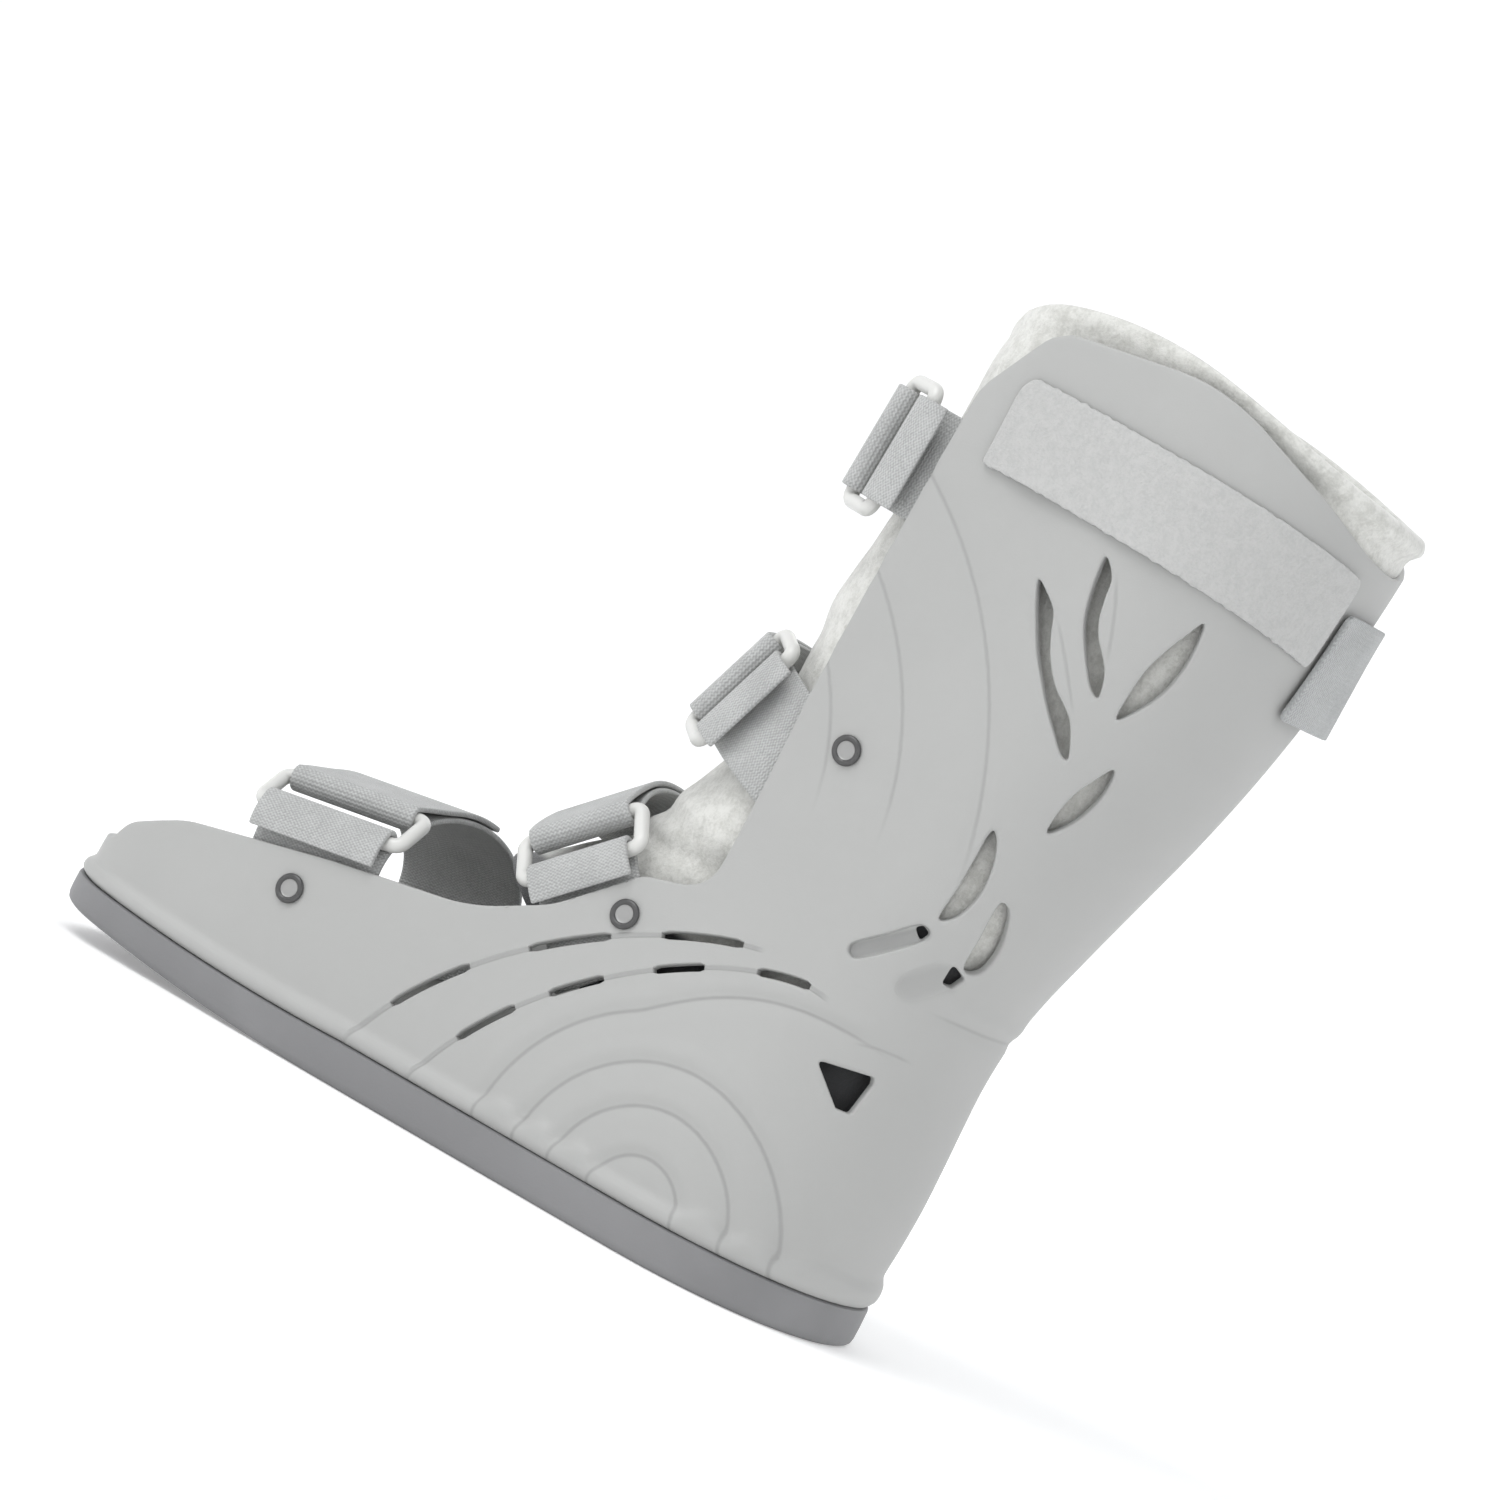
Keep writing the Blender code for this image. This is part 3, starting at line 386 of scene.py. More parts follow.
def nose_point(section, share):
    """A place at a share of the way round the nose, from its middle to where the side begins."""
    turns = np.pi / 2 * np.sin(np.linspace(0, np.pi / 2, NOSE_SAMPLES)) ** 2
    bend = 2 / section["power"]
    depth = (section["cap"] - section["front"])[:, None]
    y = section["cap"][:, None] - depth * np.cos(turns) ** bend
    wide = {key: section[key][:, None] for key in ("ankle", "ball")}
    x = half_width(wide, y) * np.sin(turns) ** bend
    steps = np.hypot(np.diff(x, axis=1), np.diff(y, axis=1))
    reach = np.concatenate([np.zeros((len(x), 1)), np.cumsum(steps, axis=1)], axis=1)
    target = np.clip(share, 0, 1) * reach[:, -1]
    k = np.clip((reach < target[:, None]).sum(axis=1) - 1, 0, len(turns) - 2)
    row = np.arange(len(k))
    t = (target - reach[row, k]) / np.maximum(steps[row, k], 1e-9)
    return x[row, k] + t * (x[row, k + 1] - x[row, k]), y[row, k] + t * (y[row, k + 1] - y[row, k])


def loop_points(section, walk):
    """Half width and y of the wall at each walk from 0 to 3."""
    nose_x, nose_y = nose_point(section, walk / NOSE_END)
    cap, split, mid, back = (section[key] for key in ("cap", "split", "mid", "back"))
    front_y = cap + (split - cap) * (walk - NOSE_END) / (1 - NOSE_END)
    side_y = split + (mid - split) * (walk - 1)
    turn = np.radians(90 * np.clip(walk - 2, 0, 1))
    swell = 2 / BACK_POWER
    back_x = section["ankle"] * np.clip(np.cos(turn), 0, 1) ** swell
    back_y = mid + (back - mid) * np.sin(turn) ** swell
    x = np.select(
        [walk < NOSE_END, walk <= 1, walk <= 2],
        [nose_x, half_width(section, front_y), half_width(section, side_y)], back_x,
    )
    y = np.select([walk < NOSE_END, walk <= 1, walk <= 2], [nose_y, front_y, side_y], back_y)
    return x, y


def outward(section, walk):
    """The level direction that points out of the wall."""
    step = 0.01
    x1, y1 = loop_points(section, np.minimum(walk + step, 3))
    x0, y0 = loop_points(section, np.maximum(walk - step, 0))
    way_x, way_y = x1 - x0, y1 - y0
    length = np.hypot(way_x, way_y)
    out_x, out_y = way_y / length, -way_x / length
    middle = (walk <= 0) | (walk >= 3)
    return np.where(middle, 0.0, out_x), np.where(middle, np.where(walk > 1, 1.0, -1.0), out_y)


def wall(walk, z, out):
    """Places on the wall, moved out by out. A negative walk is on the boot's right side."""
    section = section_at(z)
    x, y = loop_points(section, np.abs(walk))
    nx, ny = outward(section, np.abs(walk))
    side = np.where(walk < 0, -1.0, 1.0)
    x = np.where((np.abs(walk) <= 0) | (np.abs(walk) >= 3), 0.0, side * (x + nx * out))
    return np.stack([x, y + ny * out, z], axis=1)


dense = np.linspace(0, 3, 3001)
ring_x, ring_y = loop_points(section_at(np.full_like(dense, EVEN_LEVEL)), dense)
ring_run = np.concatenate([[0], np.cumsum(np.hypot(np.diff(ring_x), np.diff(ring_y)))])


def even_walks(count):
    """Walks from toe to heel that are evenly spaced along the wall near the sole."""
    return np.interp(np.linspace(0, ring_run[-1], count + 1), ring_run, dense)


def walks_round(columns):
    """Walks for a sheet that goes once round the boot, from the heel's middle over the toe and back."""
    half_round = even_walks(columns // 2)
    return np.concatenate([-half_round[::-1], half_round[1:]])


print("half way round the shell, mm:", round(ring_run[-1] / MM))

# %% [markdown]
# The sole curls up at the toe, and the lowest rows of the shell follow it. The shell then meets it in a
# rounded bead. Soft rings run round the ankle, like ripples in water. They are real relief in the mould:
# each is a shallow trough with a faint raised lip, so they belong in the surface itself. Where a ring
# comes down to the bead, the bead's top swells between its neighbours in a row of scallops.

# %% Relief of the shell
BEAD = [
    dict(rise=0.0000, out=0.0004),
    dict(rise=0.0012, out=0.0018),
    dict(rise=0.0030, out=0.0023),
    dict(rise=0.0048, out=0.0017),
    dict(rise=0.0064, out=0.0003),
    dict(rise=0.0085, out=0.0000),
]
ANKLE_RINGS = dict(y=-0.057, z=0.014, radii=[0.015, 0.030, 0.0435])
OUTER_RING = dict(radius=0.059, turn=1.05, growth=0.0327, ease=0.25, fade=(1.95, 2.15))
SHIN_RINGS = dict(
    y=-0.150, z=0.135, radii=[0.0845, 0.108, 0.136], strength=0.7,
    fade=(0.142, 0.172), line_fade=(0.140, 0.165),
)
HEEL_LINE = 0.1065
HEEL_FADE = (-0.010, -0.001)
RING_DEPTH = 0.00072
RING_HALF = 0.0021
RING_LIP = dict(share=0.55, at=2.1, half=1.3)
SCALLOP = 0.60
# How far from the rings' middle each ring meets the bead, and the count of scallops up to there.
SCALLOP_FEET = [(0.0, 1), (0.015, 1), (0.030, 2), (0.0435, 3), (0.060, 4), (0.080, 4)]


def toe_share(y):
    """0 where the sole starts to curl, 1 at the toe's end."""
    return (-y - SPRING_START) / (SOLE_LENGTH - SPRING_START)


def spring(y):
    """Height of the sole's underside."""
    share = np.clip(toe_share(y), 0.0, None)
    return TOE_SPRING * share * share


def sole_top(y):
    """Height of the sole's upper side."""
    share = np.clip(toe_share(y), 0.0, 1.0)
    return spring(y) + SOLE_THICK + (SOLE_TOE_THICK - SOLE_THICK) * share


def soft_step(value, start, stop):
    """0 before start, 1 after stop, and smooth between."""
    share = np.clip((value - start) / (stop - start), 0.0, 1.0)
    return share * share * (3 - 2 * share)


def trough(distance):
    """A shallow valley with a faint lip outside it."""
    valley = np.exp(-((distance / RING_HALF) ** 2))
    lip = np.exp(-(((distance - RING_LIP["at"] * RING_HALF) / (RING_LIP["half"] * RING_HALF)) ** 2))
    return RING_DEPTH * (RING_LIP["share"] * lip - valley)


def rings(y, z):
    """Height of the ripples at a place in side view."""
    over, up = y - ANKLE_RINGS["y"], z - ANKLE_RINGS["z"]
    reach = np.hypot(over, up)
    height = 0 * reach
    for radius in ANKLE_RINGS["radii"]:
        height = height + trough(reach - radius)
    turn = np.arctan2(up, -over)
    past = np.clip(turn - OUTER_RING["turn"], 0, None)
    radius = OUTER_RING["radius"] + OUTER_RING["growth"] * past * past / (past + OUTER_RING["ease"])
    fade = 1 - soft_step(turn, *OUTER_RING["fade"])
    height = height + trough(reach - radius) * fade
    reach = np.hypot(y - SHIN_RINGS["y"], z - SHIN_RINGS["z"])
    fade = soft_step(z, *SHIN_RINGS["fade"])
    for radius in SHIN_RINGS["radii"]:
        height = height + SHIN_RINGS["strength"] * trough(reach - radius) * fade
    return height + trough(z - HEEL_LINE) * soft_step(y, *HEEL_FADE)


def bead(y, rise):
    """The bead over the seam, swelling in scallops between the feet of the rings."""
    phase = np.interp(np.abs(y - ANKLE_RINGS["y"]), *zip(*SCALLOP_FEET))
    swell = 1 + SCALLOP * np.abs(np.sin(math.pi * phase))
    return flow(rise / swell, [row["rise"] for row in BEAD], [row["out"] for row in BEAD])


# %% [markdown]
# The sheet of the shell starts as a plain grid that is laid onto the surface, closer in the rows where
# the bead and the ripples are. Its top edge runs down the throat to the toe. A Boolean would leave slivers
# there, so the grid's own points are slid onto the edge instead: wherever a grid line crosses it, the
# nearer point moves to the crossing. Quads that the edge crosses corner to corner are split.

# %% Edge of the shell in side view
EDGE = [
    dict(y=-1.100, z=0.106, round=0.000),
    dict(y=-0.948, z=0.106, round=0.014),
    dict(y=-0.934, z=0.130, round=0.045),
    dict(y=-0.870, z=0.160, round=0.110),
    dict(y=-0.690, z=0.196, round=0.200),
    dict(y=-0.520, z=0.222, round=0.200),
    dict(y=-0.440, z=0.262, round=0.100),
    dict(y=-0.365, z=0.330, round=0.040),
    dict(y=-0.292, z=0.347, round=0.050),
    dict(y=-0.288, z=0.560, round=0.300),
    dict(y=-0.258, z=0.900, round=0.060),
    dict(y=-0.205, z=0.982, round=0.045),
    dict(y=-0.010, z=1.000, round=0.250),
    dict(y=0.120, z=0.945, round=0.200),
    dict(y=0.170, z=0.910, round=0.000),
    dict(y=0.300, z=0.905, round=0.000),
]
EDGE_STEPS = 10


def rounded(corners, steps):
    """Replaces each corner of a flat path by an arc. Each corner is (point, radius)."""
    path = [corners[0][0].copy()]
    for (before, _), (point, radius), (after, _) in zip(corners, corners[1:], corners[2:]):
        back, ahead = before - point, after - point
        bend = math.pi - back.angle(ahead)
        trim = min(radius * math.tan(bend / 2), 0.45 * back.length, 0.45 * ahead.length)
        start = point + back.normalized() * trim
        end = point + ahead.normalized() * trim
        for step in range(steps + 1):
            share = step / steps
            path.append(start.lerp(point, share).lerp(point.lerp(end, share), share))
    path.append(corners[-1][0].copy())
    return path


edge_corners = []
for row in EDGE:
    corner = Vector((row["y"] * SOLE_LENGTH, row["z"] * SHELL_HEIGHT))
    edge_corners.append((corner, row["round"] * SHELL_HEIGHT))
edge_line = np.array([tuple(point) for point in rounded(edge_corners, EDGE_STEPS)])


def under_edge(places):
    """How far each place lies below the shell's edge."""
    return np.interp(places[:, 1], edge_line[:, 0], edge_line[:, 1]) - places[:, 2]


# %% Lay the sheet of the shell
SHEET_COLUMNS = 372
BEAD_TOP = 0.0238
RIPPLE_ROWS = dict(start=0.0253, stop=0.114, step=0.0015)
PLAIN_ROWS = dict(start=0.1155, stop=SHELL_HEIGHT + 0.004, step=0.0022)
ROWS = np.concatenate([
    np.linspace(SOLE_THICK + FIT_GAP, BEAD_TOP, 10), np.arange(**RIPPLE_ROWS), np.arange(**PLAIN_ROWS),
])
WALKS = walks_round(SHEET_COLUMNS)
LIFT_END = 0.055
RIPPLE_START = (0.004, 0.009)
UNMOVED = 2.0
HALVINGS = 26


def sheet_place(column, row):
    """The place of a column and row of the grid, which need not be whole numbers."""
    walk = np.interp(column, np.arange(len(WALKS)), WALKS)
    level = np.interp(row, np.arange(len(ROWS)), ROWS)
    fade = np.clip((LIFT_END - level) / (LIFT_END - ROWS[0]), 0, 1)
    _, y = loop_points(section_at(level), np.abs(walk))
    z = level + (sole_top(y) - SOLE_THICK) * fade
    y = wall(walk, z, 0 * z)[:, 1]
    rise = level - ROWS[0]
    return wall(walk, z, bead(y, rise) + rings(y, z) * soft_step(rise, *RIPPLE_START))


def slide_to_edge(columns, rows, column, row, state):
    """Moves grid points onto the shell's edge. Returns the places and which points lie on it."""
    best = np.full(len(state), UNMOVED)
    new_column, new_row = column.copy(), row.copy()
    index = np.arange(len(state)).reshape(rows, columns)
    pairs = [(index[:, :-1].ravel(), index[:, 1:].ravel()), (index[:-1].ravel(), index[1:].ravel())]
    for first, second in pairs:
        cross = (state[first] > 0) != (state[second] > 0)
        a, b = first[cross], second[cross]

        def spot(share):
            return column[a] + (column[b] - column[a]) * share, row[a] + (row[b] - row[a]) * share

        low, high = np.zeros(len(a)), np.ones(len(a))
        for _ in range(HALVINGS):
            middle = (low + high) / 2
            same = (under_edge(sheet_place(*spot(middle))) > 0) == (state[a] > 0)
            low, high = np.where(same, middle, low), np.where(same, high, middle)
        spot_column, spot_row = spot(low)
        for k in range(len(a)):
            near, far = (a[k], low[k]) if low[k] < 0.5 else (b[k], 1 - low[k])
            if far < best[near]:
                best[near] = far
                new_column[near], new_row[near] = spot_column[k], spot_row[k]
    return new_column, new_row, best < UNMOVED


def shell_sheet():
    """The grid on the shell's outer face, ending in its edge. Its points keep their walk and level."""
    bm, spots = flat_grid(len(WALKS) - 1, len(ROWS) - 1)
    column = np.round(spots[:, 0] * (len(WALKS) - 1))
    row = np.round(spots[:, 1] * (len(ROWS) - 1))
    order = np.lexsort((column, row))
    column, row = column[order], row[order]
    state = under_edge(sheet_place(column, row))
    column, row, on_edge = slide_to_edge(len(WALKS), len(ROWS), column, row, state)
    places = sheet_place(column, row)
    walks_here = np.interp(column, np.arange(len(WALKS)), WALKS)
    walk_layer, level_layer = bm.verts.layers.float.new("walk"), bm.verts.layers.float.new("level")
    bm.verts.ensure_lookup_table()
    states = {}
    for k, number in enumerate(order):
        vertex = bm.verts[int(number)]
        vertex.co = places[k]
        vertex[walk_layer], vertex[level_layer] = walks_here[k], places[k][2]
        states[vertex] = 0 if on_edge[k] else (1 if state[k] > 0 else -1)
    for face in list(bm.faces):
        kinds = [states[v] for v in face.verts]
        if 1 in kinds and -1 in kinds:
            corners = [v for v in face.verts if states[v] == 0]
            bmesh.utils.face_split(face, *corners)
    outside = [face for face in bm.faces if max(states[v] for v in face.verts) <= 0]
    bmesh.ops.delete(bm, geom=outside, context="FACES")
    bmesh.ops.delete(bm, geom=[v for v in bm.verts if not v.link_faces], context="VERTS")
    bmesh.ops.remove_doubles(bm, verts=bm.verts, dist=1e-5)
    bmesh.ops.recalc_face_normals(bm, faces=bm.faces)
    return bm


sheet = shell_sheet()
print("sheet of the shell, faces:", len(sheet.faces), "open edges:", sum(e.is_boundary for e in sheet.edges))

# %% [markdown]
# The sheet gets the wall's thickness inwards. The two long edges of the rim are then beveled by 0.6 mm,
# as any moulded edge is, so that they catch the light.

# %% Give the shell its wall and rounded rim
RIM_ROUND = 0.0006
RIM_ANGLE = math.radians(55)


def rounded_rim(bm, size, segments=2):
    """Bevels the sharp edges of a wall."""
    bm.normal_update()
    sharp = [e for e in bm.edges if len(e.link_faces) == 2 and e.calc_face_angle(0.0) > RIM_ANGLE]
    bmesh.ops.bevel(
        bm, geom=sharp, offset=size, offset_type="OFFSET", segments=segments, profile=0.5,
        affect="EDGES", material=-1, clamp_overlap=False,
    )


def walled(bm, places):
    """Gives a sheet its inner wall at places, one for each point, and closes the rim."""
    outer = bm.verts[:]
    rim = [edge for edge in bm.edges if edge.is_boundary]
    copied = bmesh.ops.duplicate(bm, geom=bm.verts[:] + bm.edges[:] + bm.faces[:])
    twins = copied["vert_map"]
    for vertex, place in zip(outer, places):
        twins[vertex].co = place
    inner_faces = [item for item in copied["geom"] if isinstance(item, bmesh.types.BMFace)]
    bmesh.ops.reverse_faces(bm, faces=inner_faces)
    for edge in rim:
        start, stop = edge.verts
        bm.faces.new((stop, start, twins[start], twins[stop]))
    bmesh.ops.recalc_face_normals(bm, faces=bm.faces)


walk_layer, level_layer = sheet.verts.layers.float["walk"], sheet.verts.layers.float["level"]
sheet_walks = np.array([vertex[walk_layer] for vertex in sheet.verts])
sheet_levels = np.array([vertex[level_layer] for vertex in sheet.verts])
walled(sheet, wall(sheet_walks, sheet_levels, np.full(len(sheet_walks), -WALL)))
rounded_rim(sheet, RIM_ROUND)

# %% [markdown]
# The shell's plastic is a fine matt grey. Thin darker lines of painted shade run in the ripples' troughs,
# faint raised lines join the dashes, and short contours of painted shade lie beside the vents. They are too
# fine for the mesh, so they are drawn in the material, by how far a place is from each line, and the same
# sums make them bump.
# The floors of the two blind pockets are darkened as painted shade too. A table holds each row of dashes as
# an arch in side view, with the ends of its dashes, all as shares.

# %% Finish of the shell
SLOT_ROWS = [
    dict(middle=-0.172, reach=0.414, top=0.325, ends=[
        (-0.545, -0.486), (-0.436, -0.362), (-0.312, -0.226),
    ]),
    dict(middle=-0.138, reach=0.360, top=0.312, ends=[
        (-0.458, -0.417), (-0.390, -0.345), (-0.300, -0.252), (-0.197, -0.138),
    ]),
]
SLOT_POWER = 1.6
DASH_RIDGE = dict(half=(0.004, 0.011), before=0.006, after=0.004, fade=0.004)
CONTOURS = [((-22, 230), (-3, 203)), ((-10, 249), (-1, 222)), ((-22, 88), (-6, 90))]
CONTOUR_HALF = (0.0001, 0.0008)
CONTOUR_BOW = 0.0035
POCKETS = [
    dict(start=(-33.5, 113.0), stop=(-17.5, 127.0), half=(0.0016, 0.0027), shade=0.75),
    dict(start=(-15.0, 110.2), stop=(-8.6, 117.6), half=(0.0020, 0.0056), shade=0.42),
]
LINE_HALF = (0.00010, 0.00095)
SHELL_GREY = (0.385, 0.387, 0.379)
# The darker grey for the dash ridges and for the painted shade of the ripples, contours and pockets.
LINE_AND_SHADE_GREY = (0.255, 0.257, 0.252)


def highest(wires):
    """The greatest of several sums."""
    found = wires[0]
    for wire in wires[1:]:
        found = found.high(wire)
    return found


def ring_gap(y, z, table):
    """How far a place is from the nearest of some rings."""
    over, up = y - table["y"], z - table["z"]
    reach = (over * over + up * up) ** 0.5
    gap = abs(reach - table["radii"][0])
    for radius in table["radii"][1:]:
        gap = gap.low(abs(reach - radius))
    return gap


def ripple_shade_lines(finish, y, z):
    """1 on the thin line of painted shade that runs in each ripple's trough, 0 elsewhere."""

    def line(gap):
        return finish.ease(gap, *LINE_HALF, 1.0, 0.0)

    over, up = y - ANKLE_RINGS["y"], z - ANKLE_RINGS["z"]
    turn = up.maths("ARCTAN2", up, over * -1.0)
    past = (turn - OUTER_RING["turn"]).high(0.0)
    radius = past * past / (past + OUTER_RING["ease"]) * OUTER_RING["growth"] + OUTER_RING["radius"]
    outer = abs((over * over + up * up) ** 0.5 - radius)
    return highest([
        line(ring_gap(y, z, ANKLE_RINGS)),
        line(outer) * finish.ease(turn, *OUTER_RING["fade"], 1.0, 0.0),
        line(ring_gap(y, z, SHIN_RINGS)) * finish.ease(z, *SHIN_RINGS["line_fade"]) * 0.8,
        line(abs(z - HEEL_LINE)) * finish.ease(y, *HEEL_FADE) * 0.7,
    ])


def dash_ridges(finish, y, z):
    """1 on the fine raised lines that join the dashes of each row."""
    found = []
    for row in SLOT_ROWS:
        over = abs(y - row["middle"] * SOLE_LENGTH) / (row["reach"] * SOLE_LENGTH)
        up = z.high(0.0001) / (row["top"] * SHELL_HEIGHT)
        off = abs((over ** SLOT_POWER + up ** SLOT_POWER) ** (1 / SLOT_POWER) - 1.0)
        first = row["ends"][0][0] * SOLE_LENGTH - DASH_RIDGE["before"]
        last = row["ends"][-1][1] * SOLE_LENGTH + DASH_RIDGE["after"]
        span = finish.ease(y, first - DASH_RIDGE["fade"], first)
        span = span * finish.ease(y, last, last + DASH_RIDGE["fade"], 1.0, 0.0)
        found.append(finish.ease(off, *DASH_RIDGE["half"], 1.0, 0.0) * span)
    return highest(found)


def along_line(start, stop, y, z):
    """How far along and off a straight line a place is. The line's ends are in millimetres."""
    start, stop = Vector(start) * MM, Vector(stop) * MM
    way = (stop - start).normalized()
    over, up = y - start.x, z - start.y
    return over * way.x + up * way.y, over * way.y - up * way.x, (stop - start).length


def contour_shade_lines(finish, y, z):
    """1 on the short faint contours beside the long vents and the dart, which are drawn as painted shade."""
    found = []
    for start, stop in CONTOURS:
        along, off, length = along_line(start, stop, y, z)
        share = along / length
        off = abs(off + (share - share * share) * CONTOUR_BOW)
        line = finish.ease(off, *CONTOUR_HALF, 1.0, 0.0)
        found.append(line * finish.ease(share, 0.0, 0.25) * finish.ease(share, 0.75, 1.0, 1.0, 0.0))
    return highest(found)


def pocket_shade(finish, y, z):
    """Darkens the floors of the two blind pockets, which lie in shade in the photograph."""
    found = []
    for row in POCKETS:
        along, off, length = along_line(row["start"], row["stop"], y, z)
        past = along - along.high(0.0).low(length)
        found.append(finish.ease((past * past + off * off) ** 0.5, *row["half"], row["shade"], 0.0))
    return highest(found)


def shell_plastic():
    """Fine matt moulded plastic, with painted shade drawn in the ripples, beside the vents and on the pocket
    floors.
    """
    finish = Finish("shell plastic", SHELL_GREY, 0.5, Coat_Weight=0.05, Coat_Roughness=0.45)
    _, y, z = finish.parts(finish.place())
    y = y - HEEL.y
    lines = ripple_shade_lines(finish, y, z)
    ridges = dash_ridges(finish, y, z)
    contours = contour_shade_lines(finish, y, z)
    slow = finish.grain(14.0, 3.0, 0.5)
    fine = finish.grain(1500.0, 3.0, 0.6)
    cloudy = finish.tint(finish.ease(slow, 0.35, 0.65) * 0.5, SHELL_GREY, shaded(SHELL_GREY, 0.95))
    # Painted shade: the ripple lines, the contours and the pocket floors mix towards the darker grey; the
    # dash ridges do too.
    lines_and_painted_shade = highest([lines * 0.6, ridges * 0.55, contours * 0.4, pocket_shade(finish, y, z)])
    finish.feed("Base Color", finish.tint(lines_and_painted_shade, cloudy, LINE_AND_SHADE_GREY))
    finish.feed("Roughness", slow * 0.16 + 0.42)
    finish.bump(fine * 0.035 - lines * 0.12 + ridges * 0.25 - contours * 0.1, 1.0, MM)
    return finish


shell = piece("boot_shell", sheet, [shell_plastic()], "shell")

# %% [markdown]
# Six leaf-shaped vents and three small holes go through the wall, and a bar and a faint leaf are pockets
# that stop inside it. All their outlines are in millimetres in side view. A cutter that follows the
# surface and flares where it leaves it cuts the hole and rounds its lip in one go. Each cutter is a stack
# of outlines: the first one is a face, and every next one is that face extruded and moved. Cutters that
# meet are cut one after the other, because the solver wants cutters that lie apart.

# %% Outlines of the vents and pockets
VENTS = [
    dict(name="long", around=[
        (-31.2, 236.0), (-27.6, 234.0), (-22.8, 229.6), (-20.4, 223.2), (-17.2, 216.4), (-12.4, 210.0),
        (-7.6, 206.0), (-4.4, 202.8), (-2.0, 197.6), (-0.6, 192.4), (-2.9, 192.9), (-6.9, 197.4),
        (-11.6, 202.8), (-16.8, 209.6), (-22.0, 216.8), (-26.4, 224.8), (-29.2, 230.4),
    ]),
    dict(name="curved", around=[
        (-14.8, 250.8), (-10.6, 246.0), (-9.8, 239.6), (-8.8, 233.6), (-6.6, 228.4), (-3.4, 224.2),
        (-0.7, 219.6), (0.4, 212.8), (-2.4, 214.0), (-5.6, 218.4), (-9.4, 224.6), (-12.6, 231.2),
        (-14.2, 238.0), (-15.0, 245.2),
    ]),
    dict(name="upper leaf", around=[
        (7.4, 209.6), (8.0, 218.0), (9.6, 226.4), (12.4, 234.0), (15.4, 240.4), (18.4, 246.0),
        (19.0, 238.8), (18.2, 230.8), (16.0, 222.6), (12.0, 215.0),
    ]),
    dict(name="middle leaf", around=[
        (2.0, 170.4), (2.8, 177.2), (4.8, 183.8), (8.0, 190.0), (11.4, 195.6), (12.2, 193.0),
        (11.4, 186.6), (8.8, 179.2), (5.6, 173.8),
    ]),
    dict(name="lower leaf", around=[
        (-15.4, 133.0), (-14.0, 144.0), (-13.0, 154.4), (-12.6, 160.6), (-11.4, 163.6), (-9.0, 159.8),
        (-7.6, 152.4), (-8.0, 144.0), (-11.0, 135.8),
    ]),
    dict(name="ankle leaf", around=[
        (-4.8, 123.6), (-3.6, 133.4), (-3.0, 140.6), (-2.0, 145.4), (0.4, 144.0), (1.5, 137.2),
        (1.1, 130.2), (-0.5, 124.4), (-3.0, 122.0),
    ]),
]
HOLES = [
    dict(name="dart", corners=[(-27.6, 78.9), (-12.7, 81.6), (-12.2, 79.4), (-13.6, 68.6), (-17.3, 68.4)]),
    dict(name="small triangle", corners=[(-7.3, 122.6), (-3.6, 119.8), (-5.5, 115.8), (-8.1, 115.6)]),
    dict(name="tip of the bar", corners=[(-20.4, 127.3), (-18.4, 128.9), (-15.9, 127.5), (-17.5, 124.0)]),
]
TROUGHS = [
    dict(name="bar", depth=1.5, soft=1.0, around=[
        (-34.9, 112.8), (-34.2, 115.4), (-26.8, 122.0), (-20.8, 127.8), (-18.0, 129.0), (-16.0, 127.4),
        (-18.0, 123.2), (-24.4, 116.9), (-31.2, 111.3), (-33.7, 111.3),
    ]),
    dict(name="faint leaf", depth=0.6, soft=3.6, around=[
        (-17.6, 109.2), (-16.6, 113.6), (-12.0, 119.0), (-8.4, 121.4), (-6.4, 120.2), (-6.6, 116.8),
        (-9.6, 112.2), (-13.2, 108.2), (-16.0, 107.4),
    ]),
]
for table in (VENTS, HOLES, TROUGHS):
    print("outlines:", ", ".join(row["name"] for row in table))

# %% Cut the vents and pockets
TROUGH_LEVELS = [(-0.25, 1.0), (-0.05, 0.6), (0.08, 0.25), (0.25, 0.06)]
CORNER_ROUND = 0.0011
CORNER_STEPS = 5
LOOP_STEPS = 5
FLARE = [(0.0, -5.0), (0.0, -0.9), (0.10, -0.42), (0.30, -0.14), (0.62, 0.04), (1.2, 0.4), (2.0, 5.0)]


def side_half(y, z):
    """Half width of the shell's outer face at places behind the nose."""
    section = section_at(z)
    reach = (y - section["mid"]) / (section["back"] - section["mid"])
    back = section["ankle"] * np.clip(1 - np.clip(reach, 0, 1) ** BACK_POWER, 0, 1) ** (1 / BACK_POWER)
    return np.where(y <= section["mid"], half_width(section, y), back)


def side_place(y, z, out=0.0):
    """Points on the left wall at y and height z, moved out along the wall's normal."""
    y, z = np.broadcast_arrays(np.asarray(y, float), np.asarray(z, float))
    step = 0.001
    x = side_half(y, z)
    slope_y = (side_half(y + step, z) - side_half(y - step, z)) / (2 * step)
    slope_z = (side_half(y, z + 4 * step) - side_half(y, z - 4 * step)) / (8 * step)
    normal = np.stack([np.ones_like(x), -slope_y, -slope_z], axis=-1)
    normal /= np.linalg.norm(normal, axis=-1, keepdims=True)
    return np.stack([x, y, z], axis=-1) + normal * np.asarray(out)[..., None]


